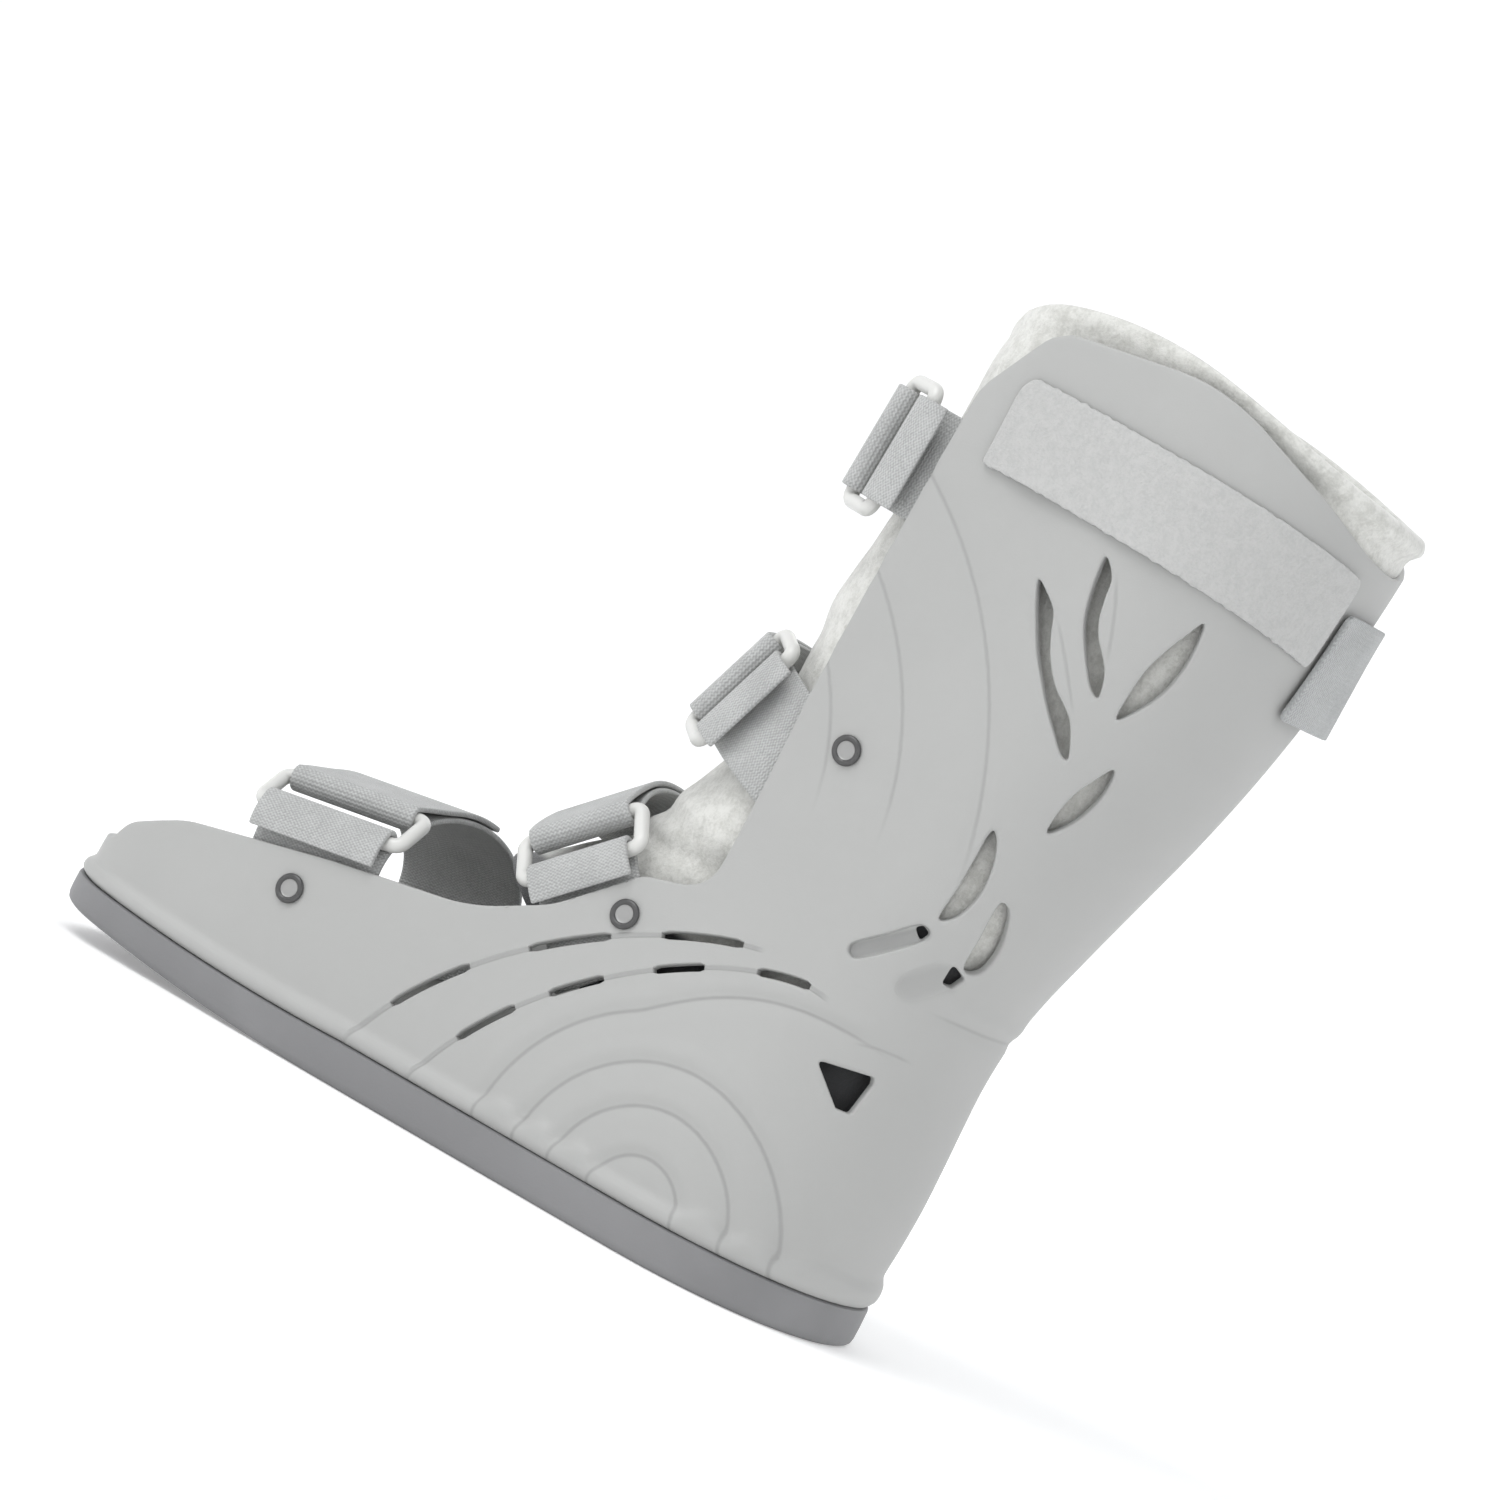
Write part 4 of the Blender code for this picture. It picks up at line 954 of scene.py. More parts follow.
def smooth_loop(places):
    """A smooth closed outline through places given in millimetres of y and z."""
    points = np.array(places) * MM
    before, after, beyond = (np.roll(points, shift, axis=0) for shift in (1, -1, -2))
    pieces = []
    for step in range(LOOP_STEPS):
        t = step / LOOP_STEPS
        bend = (2 * before - 5 * points + 4 * after - beyond) * t * t
        turn = (3 * points - before - 3 * after + beyond) * t ** 3
        pieces.append((2 * points + (after - before) * t + bend + turn) / 2)
    return np.stack(pieces, axis=1).reshape(-1, 2)


def grown(outline, grow):
    """A closed flat outline moved out by grow."""
    before, after = np.roll(outline, 1, axis=0), np.roll(outline, -1, axis=0)
    way = after - before
    way /= np.linalg.norm(way, axis=1, keepdims=True)
    out = np.stack([way[:, 1], -way[:, 0]], axis=1)
    area = (outline[:, 0] * after[:, 1] - after[:, 0] * outline[:, 1]).sum()
    return outline + out * grow * (1 if area > 0 else -1)


def stack(bm, rings):
    """A closed body through rings of equal length: a face, extruded and moved to each next ring."""
    face = bm.faces.new([bm.verts.new(point) for point in rings[0]])
    base = face.edges[:]
    for ring in rings[1:]:
        face = bmesh.ops.extrude_discrete_faces(bm, faces=[face])["faces"][0]
        for vertex, point in zip(face.verts, ring):
            vertex.co = point
    return bmesh.ops.contextual_create(bm, geom=base)["faces"]


def bodies(stacks):
    """A bmesh that holds one closed body for each stack of rings."""
    bm = bmesh.new()
    for rings in stacks:
        stack(bm, rings)
    bmesh.ops.recalc_face_normals(bm, faces=bm.faces)
    return bm


def cornered(corners):
    """A closed outline in y and z with its corners rounded."""
    points = [(Vector((y, z)) * MM, CORNER_ROUND) for y, z in corners]
    path = rounded(points[-1:] + points + points[:1], CORNER_STEPS)
    return np.array([tuple(point) for point in path[1:-1]])


def laid(outline, grow, out):
    """The outline, grown by grow, on the left wall and moved out by out, both in millimetres."""
    spots = grown(outline, grow * MM)
    return side_place(spots[:, 0], spots[:, 1], out * MM)


def hole_rings(outline, share=1.0):
    """The outlines of a cutter that goes right through and flares at the surface."""
    return [laid(outline, grow * share, out) for grow, out in FLARE]


def trough_rings(row):
    """The outlines of a cutter that only goes to a depth, with soft walls."""
    outline = smooth_loop(row["around"])
    levels = [(grow * row["soft"], -row["depth"] * part) for grow, part in TROUGH_LEVELS]
    return [laid(outline, grow, out) for grow, out in levels + FLARE[-2:]]


def cut_shell(cuts):
    """Cuts stacks of outlines out of the shell's left side, and their mirror images out of the right."""
    stacks = []
    for rings_up in cuts:
        stacks.append(rings_up)
        stacks.append([ring * (-1, 1, 1) for ring in rings_up])
    cutters = bodies(stacks)
    to_frame(cutters)
    cut_with(shell, cutters)
    print("cuts on each side:", len(cuts), "polygons now:", len(shell.data.polygons))


cut_shell([hole_rings(smooth_loop(row["around"])) for row in VENTS])
cut_shell([trough_rings(row) for row in TROUGHS])
cut_shell([hole_rings(cornered(row["corners"])) for row in HOLES])

# %% [markdown]
# Two rows of short dashes arch over the ankle. Each row is one curve, a rounded arch between an ellipse and
# a triangle, so each dash is a narrow band along a stretch of it, cut like the vents but with less flare.

# %% Cut the rows of dashes
SLOT_WIDTH = 0.0024
SLOT_STEPS = 12


def slot_z(row, y):
    """Height of a row's arch at y."""
    share = np.abs(y - row["middle"] * SOLE_LENGTH) / (row["reach"] * SOLE_LENGTH)
    return row["top"] * SHELL_HEIGHT * np.clip(1 - share ** SLOT_POWER, 0, 1) ** (1 / SLOT_POWER)


def slot_outline(row, start, stop):
    """A narrow band along the row's arc, rounded at both ends."""
    y = np.linspace(start, stop, SLOT_STEPS + 1) * SOLE_LENGTH
    line = np.stack([y, slot_z(row, y)], axis=1)
    way = np.gradient(line, axis=0)
    way /= np.linalg.norm(way, axis=1, keepdims=True)
    across = np.stack([-way[:, 1], way[:, 0]], axis=1)
    share = np.linspace(0, 1, SLOT_STEPS + 1)[:, None]
    half = SLOT_WIDTH / 2 * (1 - np.abs(2 * share - 1) ** 20 * 0.4)
    return np.concatenate([line + across * half, (line - across * half)[::-1]])


slots = [slot_outline(row, start, stop) for row in SLOT_ROWS for start, stop in row["ends"]]
cut_shell([hole_rings(outline, 0.7) for outline in slots])

# %% [markdown]
# The outsole is one block of rubber. Its outline is that of the shell, set out a little, and its sides
# are stacked from that outline. The tread is cut while the block is flat. Only then is it sliced across
# near the toe and curled up, so that the grooves curl with it.

# %% Outline of the sole and its grooves
GROOVE_PITCH = 0.01877
GROOVE_WIDTH = 0.003
ZIGZAG_HALF = 0.0191
ZIGZAG_SWING = 0.0092
CLOSED_END_TURN = 1.6
OPEN_END_TURN = 2.0
FIRST_GROOVE = 0.0084
LAST_GROOVE = 0.0113
GROOVE_MARGIN = 0.0035
HEEL_ZONE = 0.050
GROOVE_CORNER = 0.0030
GROOVE_STEPS = 6
RIM_BAND = 0.0065
SOLE_STEPS = 150
SOLE_PROFILE = [
    (0.0, -RIM_BAND), (0.0, -0.0030), (0.0002, -0.0019), (0.0007, -0.0010), (0.0015, -0.0003), (0.0030, 0.0),
    (0.0065, 0.0001), (SOLE_THICK - 0.0012, 0.0), (SOLE_THICK - 0.0005, -0.0002), (SOLE_THICK, -0.0011),
]
GROOVE_PROFILE = [(-1.5, 1.05), (-0.02, 0.42), (0.30, 0.10), (0.75, 0.0), (2.7, -0.12), (3.4, -0.55)]


def closed_walks(count):
    """Walks once round the boot, for a closed loop of twice count points."""
    half_round = even_walks(count)
    return np.concatenate([-half_round[:0:-1], half_round[:-1]])


def ribbon(points, half):
    """The closed outline of a band of even thickness along a line of flat points."""
    left, right = [], []
    for k, point in enumerate(points):
        before = point - points[max(k - 1, 0)]
        after = points[min(k + 1, len(points) - 1)] - point
        before = (before if before.length else after).normalized()
        after = (after if after.length else before).normalized()
        middle = (before + after).normalized()
        side = Vector((-middle.y, middle.x)) * half / max(middle.dot(before), 0.3)
        left.append(point + side)
        right.append(point - side)
    return left + right[::-1]


def groove_line(y):
    """One zigzag across the tread: closed near the left edge, run out through the right one."""
    here = min(y + ZIGZAG_SWING / 2, SECTIONS[0]["back"] * SOLE_LENGTH - 0.001)
    widest = float(side_half(here, 0.0)) + SOLE_EDGE - GROOVE_MARGIN
    right = -widest if y > -HEEL_ZONE else -(SOLE_WIDTH / 2 + GROOVE_WIDTH)
    line = []
    for place in range(3, -4, -1):
        swing = ZIGZAG_SWING / 2 if place % 2 == 0 else -ZIGZAG_SWING / 2
        if right < place * ZIGZAG_HALF < widest - GROOVE_WIDTH:
            line.append(Vector((place * ZIGZAG_HALF, y + swing)))
    line.insert(0, Vector((widest, line[0].y - (line[0].y - y) * CLOSED_END_TURN)))
    line.append(Vector((right, line[-1].y - (line[-1].y - y) * OPEN_END_TURN)))
    return rounded([(point, GROOVE_CORNER) for point in line], GROOVE_STEPS)


def groove_levels(y):
    """The outlines of one groove's cutter, from below the tread up into the rubber."""
    line = groove_line(y)
    levels = []
    for depth, grow in GROOVE_PROFILE:
        outline = ribbon(line, GROOVE_WIDTH / 2 + grow * MM)
        levels.append([(point.x, point.y, depth * MM) for point in outline])
    return levels


def groove_cutter():
    """All the grooves, a pitch apart from toe to heel."""
    y = -SOLE_LENGTH + FIRST_GROOVE
    grooves = []
    while y < -LAST_GROOVE:
        grooves.append(groove_levels(y))
        y += GROOVE_PITCH
    bm = bodies(grooves)
    to_frame(bm)
    return bm


# %% [markdown]
# The block's underside is the tread. The one rubber is painted in two tones: the tread darker as painted
# shade on the downward face, the sides lighter as painted light. A bend modifier could curl the toe, but it
# would also shorten it. Here each point is only lifted along the sole's arc, while the block gets thinner
# towards the toe, so the outline from above stays as it was.

# %% Make the sole
CURL_CUTS = 26
CURL_FIRST = 0.4


def curl(obj, thick):
    """Slices the flat piece where the toe curls, then lifts each point with the sole there."""
    bm = bmesh.new()
    bm.from_mesh(obj.data)
    for step in range(CURL_CUTS):
        y = HEEL.y - (SPRING_START + (SOLE_LENGTH - SPRING_START) * (step + CURL_FIRST) / CURL_CUTS)
        geometry = bm.verts[:] + bm.edges[:] + bm.faces[:]
        bmesh.ops.bisect_plane(bm, geom=geometry, dist=1e-6, plane_co=(0, y, 0), plane_no=(0, 1, 0))
    for vertex in bm.verts:
        y = vertex.co.y - HEEL.y
        if thick:
            share = vertex.co.z / SOLE_THICK
            vertex.co.z = spring(y) + share * (sole_top(y) - spring(y))
        else:
            vertex.co.z += sole_top(y) - SOLE_THICK
    bm.to_mesh(obj.data)
    bm.free()
    obj.data.set_sharp_from_angle(angle=math.radians(SHARP))


def flat_loop(z, out, level):
    """The boot's outline at a level, moved out by out and laid flat at z."""
    loop = wall(closed_walks(SOLE_STEPS), np.full(2 * SOLE_STEPS, level), np.full(2 * SOLE_STEPS, out))
    loop[:, 2] = z
    return loop


def rubber(name, colour, rough):
    """Dense rubber with a fine moulded grain."""
    finish = Finish(name, colour, rough)
    fine = finish.grain(1200.0, 4.0, 0.6)
    slow = finish.grain(22.0, 3.0, 0.5)
    share = finish.ease(slow, 0.35, 0.65)
    finish.feed("Base Color", finish.tint(share, colour, shaded(colour, 0.9)))
    finish.feed("Roughness", slow * 0.2 + (rough - 0.1))
    finish.bump(fine * 0.06, 1.0, MM)
    return finish


# Painted light: one rubber, in a darker tone for the tread as painted shade and a lighter tone for the sides
# as painted light.
shaded_tread_rubber = rubber("shaded tread rubber", (0.16, 0.16, 0.17), 0.62)
lit_side_rubber = rubber("lit sole side rubber", (0.215, 0.215, 0.22), 0.58)
block = bmesh.new()
tread = stack(block, [flat_loop(z, SOLE_EDGE + out, 0.0) for z, out in SOLE_PROFILE])
for face in block.faces:
    face.material_index = 1
for face in tread:
    face.material_index = 0
bmesh.ops.recalc_face_normals(block, faces=block.faces)
outsole = piece("boot_outsole", block, [shaded_tread_rubber, lit_side_rubber], "outsole")
cut_with(outsole, groove_cutter())
curl(outsole, True)
print("outsole polygons:", len(outsole.data.polygons))

# %% [markdown]
# The insole only shows through the open toe. It is a thin foam sheet with a soft rounded edge.

# %% Make the insole
INSOLE_THICK = 0.005
INSOLE_INSET = WALL + 0.001
INSOLE_PROFILE = [
    (0.0, -0.0004), (0.0006, 0.0), (0.0036, 0.0), (0.0044, -0.0004), (0.0049, -0.0012), (0.005, -0.0022),
]

insole_foam = Finish("insole foam", (0.30, 0.30, 0.29), 0.92)
low = SOLE_THICK + FIT_GAP
pad = bodies([[flat_loop(low + z, out - INSOLE_INSET, 2 * SOLE_THICK) for z, out in INSOLE_PROFILE]])
insole = piece("boot_insole", pad, [insole_foam], "insole")
curl(insole, False)

# %% [markdown]
# Inside the shell sits a sleeve of padded fleece. It is soft, so it bulges a little between the straps,
# through the vents and over the shell's rim, folds at the bend of the ankle and is never quite even. It is
# laid out as a grid too, and its points are pushed in and out by swells, three creases and a slow
# noise. A table gives the sleeve's rows from the foot up, as shares of its height and of the sole's length.

# %% Form of the sleeve
LINER_WALL = 0.004
LINER_ROOM = WALL + 0.0060
LINER_SEAT = SOLE_THICK + INSOLE_THICK + 2 * FIT_GAP
LINER_CROWN = 0.025
LINER_DROOP = 0.040
LINER_NOSE_POWER = 2.1
LINER_SPLIT = 0.4
LINER_ROWS = 150
LINER_COLUMNS = 220
LINER_SECTIONS = [
    dict(back_z=0.000, front_z=0.231, front=-0.580, cap=-0.400),
    dict(back_z=0.110, front_z=0.245, front=-0.555, cap=-0.380),
    dict(back_z=0.221, front_z=0.272, front=-0.517, cap=-0.360),
    dict(back_z=0.305, front_z=0.325, front=-0.452, cap=-0.300),
    dict(back_z=0.406, front_z=0.419, front=-0.403, cap=-0.262),
    dict(back_z=0.507, front_z=0.513, front=-0.379, cap=-0.248),
    dict(back_z=0.607, front_z=0.607, front=-0.366, cap=-0.241),
    dict(back_z=0.742, front_z=0.742, front=-0.348, cap=-0.228),
    dict(back_z=0.860, front_z=0.876, front=-0.331, cap=-0.214),
    dict(back_z=0.950, front_z=1.000, front=-0.314, cap=-0.200),
]


def sleeve(walk, row, inside):
    """A place on the sleeve: walk round it, row up it from 0 to 9, and how far inside its outer face."""
    table = {}
    for key in LINER_SECTIONS[0]:
        table[key] = flow(row, np.arange(len(LINER_SECTIONS)), [line[key] for line in LINER_SECTIONS])
    back_z = LINER_SEAT + (LINER_HEIGHT - LINER_SEAT) * table["back_z"]
    front_z = LINER_SEAT + (LINER_HEIGHT - LINER_SEAT) * table["front_z"]
    front, cap = table["front"] * SOLE_LENGTH, table["cap"] * SOLE_LENGTH
    z = back_z
    way = np.abs(walk)
    for _ in range(4):
        section = section_at(z)
        heel = section["back"] - LINER_ROOM
        section["split"] = section["mid"] + (cap - section["mid"]) * LINER_SPLIT
        section.update(front=front, cap=cap, ball=section["ankle"], power=LINER_NOSE_POWER)
        x, y = loop_points(section, way)
        nx, ny = outward(section, way)
        x, y = x - nx * (LINER_ROOM + inside), y - ny * (LINER_ROOM + inside)
        y = y - np.where(way <= 1, LINER_ROOM * (1 - way), 0)
        share = np.clip((heel - y) / (heel - front), 0, 1)
        crown = LINER_CROWN * np.clip(row / 9, 0, 1) ** 6 * np.sin(np.pi * share ** 1.15) * LINER_HEIGHT
        droop = LINER_DROOP * np.clip(row / 9, 0, 1) ** 6 * share ** 4 * LINER_HEIGHT
        z = back_z + (front_z - back_z) * share + crown - droop
    x = np.where((way <= 0) | (way >= 3), 0.0, np.where(walk < 0, -x, x))
    return np.stack([x, y, z], axis=1)


# %% Swells and creases of the fleece
STRAP_HEIGHTS = [0.098, 0.172, 0.262]
STRAP_PINCH = dict(half=0.020, depth=2.9)
FRONT_SWELL = 1.9
VENT_SWELL = dict(height=3.2, lean=0.33, at=0.212, fade=(-0.005, 0.005), bottom=(0.085, 0.105))
LUMPS = [dict(height=1.0, scale=34, shift=(0, 0, 0)), dict(height=0.35, scale=90, shift=(4, 1, 7))]
CREASES = [
    dict(row=2.70, slope=0.45, depth=1.7, half=0.15, reach=1.10),
    dict(row=3.30, slope=-0.25, depth=1.2, half=0.13, reach=0.95),
    dict(row=5.75, slope=0.30, depth=0.9, half=0.16, reach=0.90),
]
CREASE_RIDGE = dict(height=0.6, at=2.0)
ROW_REACH = 30.0
HEM = [dict(height=0.8, at=3.6, half=2.6), dict(height=-0.35, at=8.4, half=1.3)]
COLLAR = [dict(height=3.9, start=-0.030, stop=0.0), dict(height=3.2, start=-0.001, stop=0.006)]


def fleece_swell(walk, row, places):
    """How far the fleece stands out. Heights and depths are in millimetres."""
    pinch = 0 * walk
    for height in STRAP_HEIGHTS:
        pinch = np.maximum(pinch, np.exp(-(((places[:, 2] - height) / STRAP_PINCH["half"]) ** 2)))
    front = 1 - soft_step(np.abs(walk), 0.45, 1.15)
    swell = front * (FRONT_SWELL - STRAP_PINCH["depth"] * pinch)
    behind = places[:, 1] - VENT_SWELL["lean"] * (places[:, 2] - VENT_SWELL["at"])
    vents = soft_step(behind, *VENT_SWELL["fade"]) * soft_step(places[:, 2], *VENT_SWELL["bottom"])
    swell = swell + VENT_SWELL["height"] * vents
    for k, place in enumerate(places):
        for lump in LUMPS:
            spot = Vector(place) * lump["scale"] + Vector(lump["shift"])
            swell[k] += lump["height"] * noise.noise(spot)
    for crease in CREASES:
        gap = (row - crease["row"] - crease["slope"] * np.abs(walk)) / crease["half"]
        fade = 1 - soft_step(np.abs(walk), crease["reach"] - 0.6, crease["reach"])
        ridge = CREASE_RIDGE["height"] * np.exp(-((gap - CREASE_RIDGE["at"]) ** 2))
        swell += crease["depth"] * fade * (ridge - np.exp(-(gap ** 2)))
    edge = soft_step(LINER_HEIGHT - places[:, 2], 0.004, 0.03)
    below = (9 - row) * ROW_REACH
    hem = sum(line["height"] * np.exp(-(((below - line["at"]) / line["half"]) ** 2)) for line in HEM)
    above = -under_edge(places)
    collar = sum(step["height"] * soft_step(above, step["start"], step["stop"]) for step in COLLAR)
    collar = collar * soft_step(places[:, 1], -0.035, 0.0)
    return (swell * (0.35 + 0.65 * edge) + hem + collar) * MM


# %% [markdown]
# The sleeve's sheet carries the place of its inner face with it, and the inner face follows most of each
# swell, so the padding gets a little thicker there. The fleece is a short pile with tufts, in colour and
# in bump.
# Round the foot the fleece is painted almost black, as painted shade deep inside the shell behind the dart
# and the dashes.

# %% Make the liner
LINER_RIM = 0.0016
# Below this level the fleece is painted near-black as painted shade. The level rises towards the front and
# drops a little at the back.
FOOT_SHADE_LEVEL = 0.092
FOOT_SHADE_FRONT = dict(fade=(-0.040, -0.022), rise=0.038)
FOOT_SHADE_BACK = dict(fade=(-0.014, -0.007), drop=0.007)
SEAM = 1e-6


def sleeve_sheet():
    """The grid on the sleeve's outer face, joined at the heel's middle, with its inner wall."""
    bm, spots = flat_grid(LINER_COLUMNS, LINER_ROWS)
    walk = np.interp(spots[:, 0] * LINER_COLUMNS, np.arange(LINER_COLUMNS + 1), walks_round(LINER_COLUMNS))
    walk = np.where(np.abs(walk) > 3 - SEAM, 3.0, walk)
    row = spots[:, 1] * 9
    outer = sleeve(walk, row, 0.0)
    swell = fleece_swell(walk, row, outer)
    inner = sleeve(walk, row, LINER_WALL)
    away = outer - inner
    away /= np.linalg.norm(away, axis=1, keepdims=True)
    outer = outer + away * swell[:, None]
    inner = inner + away * swell[:, None] * 0.8
    layers = [bm.verts.layers.float.new(axis) for axis in ("inner_x", "inner_y", "inner_z")]
    for vertex, place, twin in zip(bm.verts, outer, inner):
        vertex.co = place
        for layer, value in zip(layers, twin):
            vertex[layer] = value
    bmesh.ops.remove_doubles(bm, verts=bm.verts, dist=1e-5)
    walled(bm, [Vector([vertex[layer] for layer in layers]) for vertex in bm.verts])
    return bm


def fleece_pile():
    """Soft short fleece, pale round the leg, and painted almost black round the foot as painted shade."""
    finish = Finish("fleece", (0.80, 0.80, 0.77), 0.97, Sheen_Weight=0.4, Sheen_Roughness=0.6)
    pile = finish.grain(900.0, 6.0, 0.7)
    tufts = finish.grain(240.0, 4.0, 0.55)
    share = finish.ease(pile * 0.5 + tufts * 0.5, 0.35, 0.62)
    pale = finish.tint(share, (0.50, 0.50, 0.47), (0.66, 0.66, 0.63))
    _, y, z = finish.parts(finish.place())
    y = y - HEEL.y
    # Painted shade: below the level the fleece turns near-black, for the shade deep inside the shell.
    front = finish.ease(y, *FOOT_SHADE_FRONT["fade"], 0.0, FOOT_SHADE_FRONT["rise"])
    back = finish.ease(y, *FOOT_SHADE_BACK["fade"], 0.0, FOOT_SHADE_BACK["drop"])
    foot = finish.ease(z - (front - back), FOOT_SHADE_LEVEL - 0.002, FOOT_SHADE_LEVEL + 0.001, 1.0, 0.0)
    finish.feed("Base Color", finish.tint(foot, pale, (0.035, 0.036, 0.038)))
    finish.bump(pile * 0.3 + tufts * 0.5, 1.0, MM)
    return finish


sleeve_mesh = sleeve_sheet()
rounded_rim(sleeve_mesh, LINER_RIM, segments=4)
liner = piece("boot_liner", sleeve_mesh, [fleece_pile()], "liner", sharp=70)

# %% [markdown]
# Each strap is a pair. A tab comes up inside the near wall, goes round a plastic ring and turns back. The
# strap itself comes over the opening from the far wall, goes through the same ring and folds back on
# itself. Both are bands of webbing along a line in one slanting plane, an arch over the opening.

# %% Lines of the straps
WEB_THICK = 0.0018
RING_WIRE = 0.0024
RING_WINDOW = 0.0145
RING_SIDE_GAP = 0.0008
RING_CORNER = 0.0031
TAB_DEPTH = 0.026
STRAPS = [
    dict(name="toe", y=-0.717, z=0.190, tilt=8.0, width=0.046, arch=0.026, reach=0.010, tail=0.055),
    dict(name="instep", y=-0.412, z=0.284, tilt=42.0, width=0.034, arch=0.037, reach=0.010, tail=0.050),
    dict(name="ankle", y=-0.288, z=0.500, tilt=68.0, width=0.034, arch=0.041, reach=0.024, tail=0.046),
    dict(name="shin", y=-0.268, z=0.810, tilt=86.0, width=0.035, arch=0.036, reach=0.012, tail=0.050),
]
ARCH_SAMPLES = 240
WRAP_STEPS = 14
TAIL_STEPS = 26
LEG_POINTS = 12
TAB_TURNBACK = [(0.0015, 0.0), (0.003, 0.0), (0.0045, 0.00015), (0.006, 0.0004), (0.008, 0.001)]
BAND_STEP = 0.002
BAND_RADIUS = RING_WIRE + FIT_GAP + WEB_THICK / 2


class Arch:
    """The line of a strap over the opening, in a plane of its own: x across, v outward, w along the width."""

    def __init__(self, row):
        tilt = math.radians(row["tilt"])
        self.centre = Vector((0, row["y"] * SOLE_LENGTH, row["z"] * SHELL_HEIGHT))
        self.out = Vector((0, -math.sin(tilt), math.cos(tilt)))
        self.wide = Vector((0, math.cos(tilt), math.sin(tilt)))
        self.width = row["width"]
        self.half = self.inside_at(0.0)
        self.height = row["arch"]
        turns = np.linspace(0, math.pi, ARCH_SAMPLES + 1)
        line = np.stack([self.half * np.cos(turns), self.height * np.sin(turns)], axis=1)
        self.runs = np.concatenate([[0], np.cumsum(np.linalg.norm(np.diff(line, axis=0), axis=1))])
        self.turns = turns
        self.total = self.runs[-1]

    def inside_at(self, depth):
        """Half the way across at a depth below the edge, where the webbing lies against the wall."""
        spots = []
        for share in (-0.5, 0.0, 0.5):
            spots.append(self.centre + self.wide * self.width * share - self.out * depth)
        return min(float(side_half(p.y, p.z)) for p in spots) - WALL - FIT_GAP - WEB_THICK / 2

    def leg(self, side):
        """Flat points up the inside of a wall, from the tab's depth to the edge."""
        shares = np.linspace(1, 0, LEG_POINTS + 1)[:-1]
        return [Vector((side * self.inside_at(TAB_DEPTH * share), -TAB_DEPTH * share)) for share in shares]

    def spot(self, run, off):
        """The point a length along the arch from its left end, moved out by off, and its direction."""
        turn = float(np.interp(run, self.runs, self.turns))
        way = Vector((-self.half * math.sin(turn), self.height * math.cos(turn))).normalized()
        point = Vector((self.half * math.cos(turn), self.height * math.sin(turn)))
        return point + Vector((way.y, -way.x)) * off, way

    def place(self, u, v, w):
        return self.centre + Vector((u, 0, 0)) + self.out * v + self.wide * w


def wrap(centre, way, bulge, radius):
    """Half a turn round a ring's bar, bulging along the arch."""
    inward = Vector((-way.y, way.x))
    turns = [math.pi * k / WRAP_STEPS for k in range(WRAP_STEPS + 1)]
    return [centre + inward * radius * math.cos(t) + way * bulge * radius * math.sin(t) for t in turns]


def tab_line(row, arch):
    """Up inside the shell's wall, along under the first bar, round it and a short way back."""
    first = row["reach"]
    centre, way = arch.spot(first, BAND_RADIUS)
    line = arch.leg(1)
    count = max(int(first / BAND_STEP), 4)
    line += [arch.spot(first * k / count, 0.0)[0] for k in range(count)]
    line += wrap(centre, way, 1, BAND_RADIUS)
    for back, drop in TAB_TURNBACK:
        line.append(arch.spot(first - back, 2 * BAND_RADIUS - drop)[0])
    return line


def strap_line(row, arch):
    """Up inside the right wall, over the arch, round the second bar and back on top of itself."""
    second = row["reach"] + RING_WINDOW
    centre, way = arch.spot(second, BAND_RADIUS)
    line = arch.leg(-1)
    count = int((arch.total - second) / BAND_STEP)
    line += [arch.spot(arch.total + (second - arch.total) * k / count, 0.0)[0] for k in range(count)]
    line += wrap(centre, way, -1, BAND_RADIUS)
    for k in range(1, TAIL_STEPS + 1):
        share = k / TAIL_STEPS
        lift = max(1 - share * 2.2, 0.0) ** 2
        rest = WEB_THICK + 2 * FIT_GAP
        line.append(arch.spot(second + row["tail"] * share, rest + (2 * BAND_RADIUS - rest) * lift)[0])
    return line


# %% [markdown]
# A band is a grid laid along its flat line and across its width, with a second face behind it. Each point
# keeps how far along and across the band it lies, and the weave of the material is drawn from these two, so
# it follows every turn of the webbing.

# %% Make the straps and tabs
BAND_COLUMNS = 14
BAND_RIM = 0.0006


def band_sides(line, half):
    """The two faces of a band along a flat line."""
    outline = ribbon(line, half)
    return outline[:len(line)], outline[:len(line) - 1:-1]


def band(name, line, arch, node):
    """Webbing along a line, with soft edges."""
    outer, inner = band_sides(line, WEB_THICK / 2)
    bm, spots = flat_grid(len(line) - 1, BAND_COLUMNS)
    twins = []
    steps = [(b - a).length for a, b in zip(line, line[1:])]
    runs = np.concatenate([[0], np.cumsum(steps)])
    run_layer, wide_layer = bm.verts.layers.float.new("run"), bm.verts.layers.float.new("wide")
    for vertex, (along, across) in zip(bm.verts, spots):
        k = round(along * (len(line) - 1))
        wide = (across - 0.5) * arch.width
        vertex[run_layer], vertex[wide_layer] = runs[k], wide
        vertex.co = arch.place(outer[k].x, outer[k].y, wide)
        twins.append(arch.place(inner[k].x, inner[k].y, wide))
    walled(bm, twins)
    rounded_rim(bm, BAND_RIM, segments=3)
    return piece(name, bm, [webbing], node)


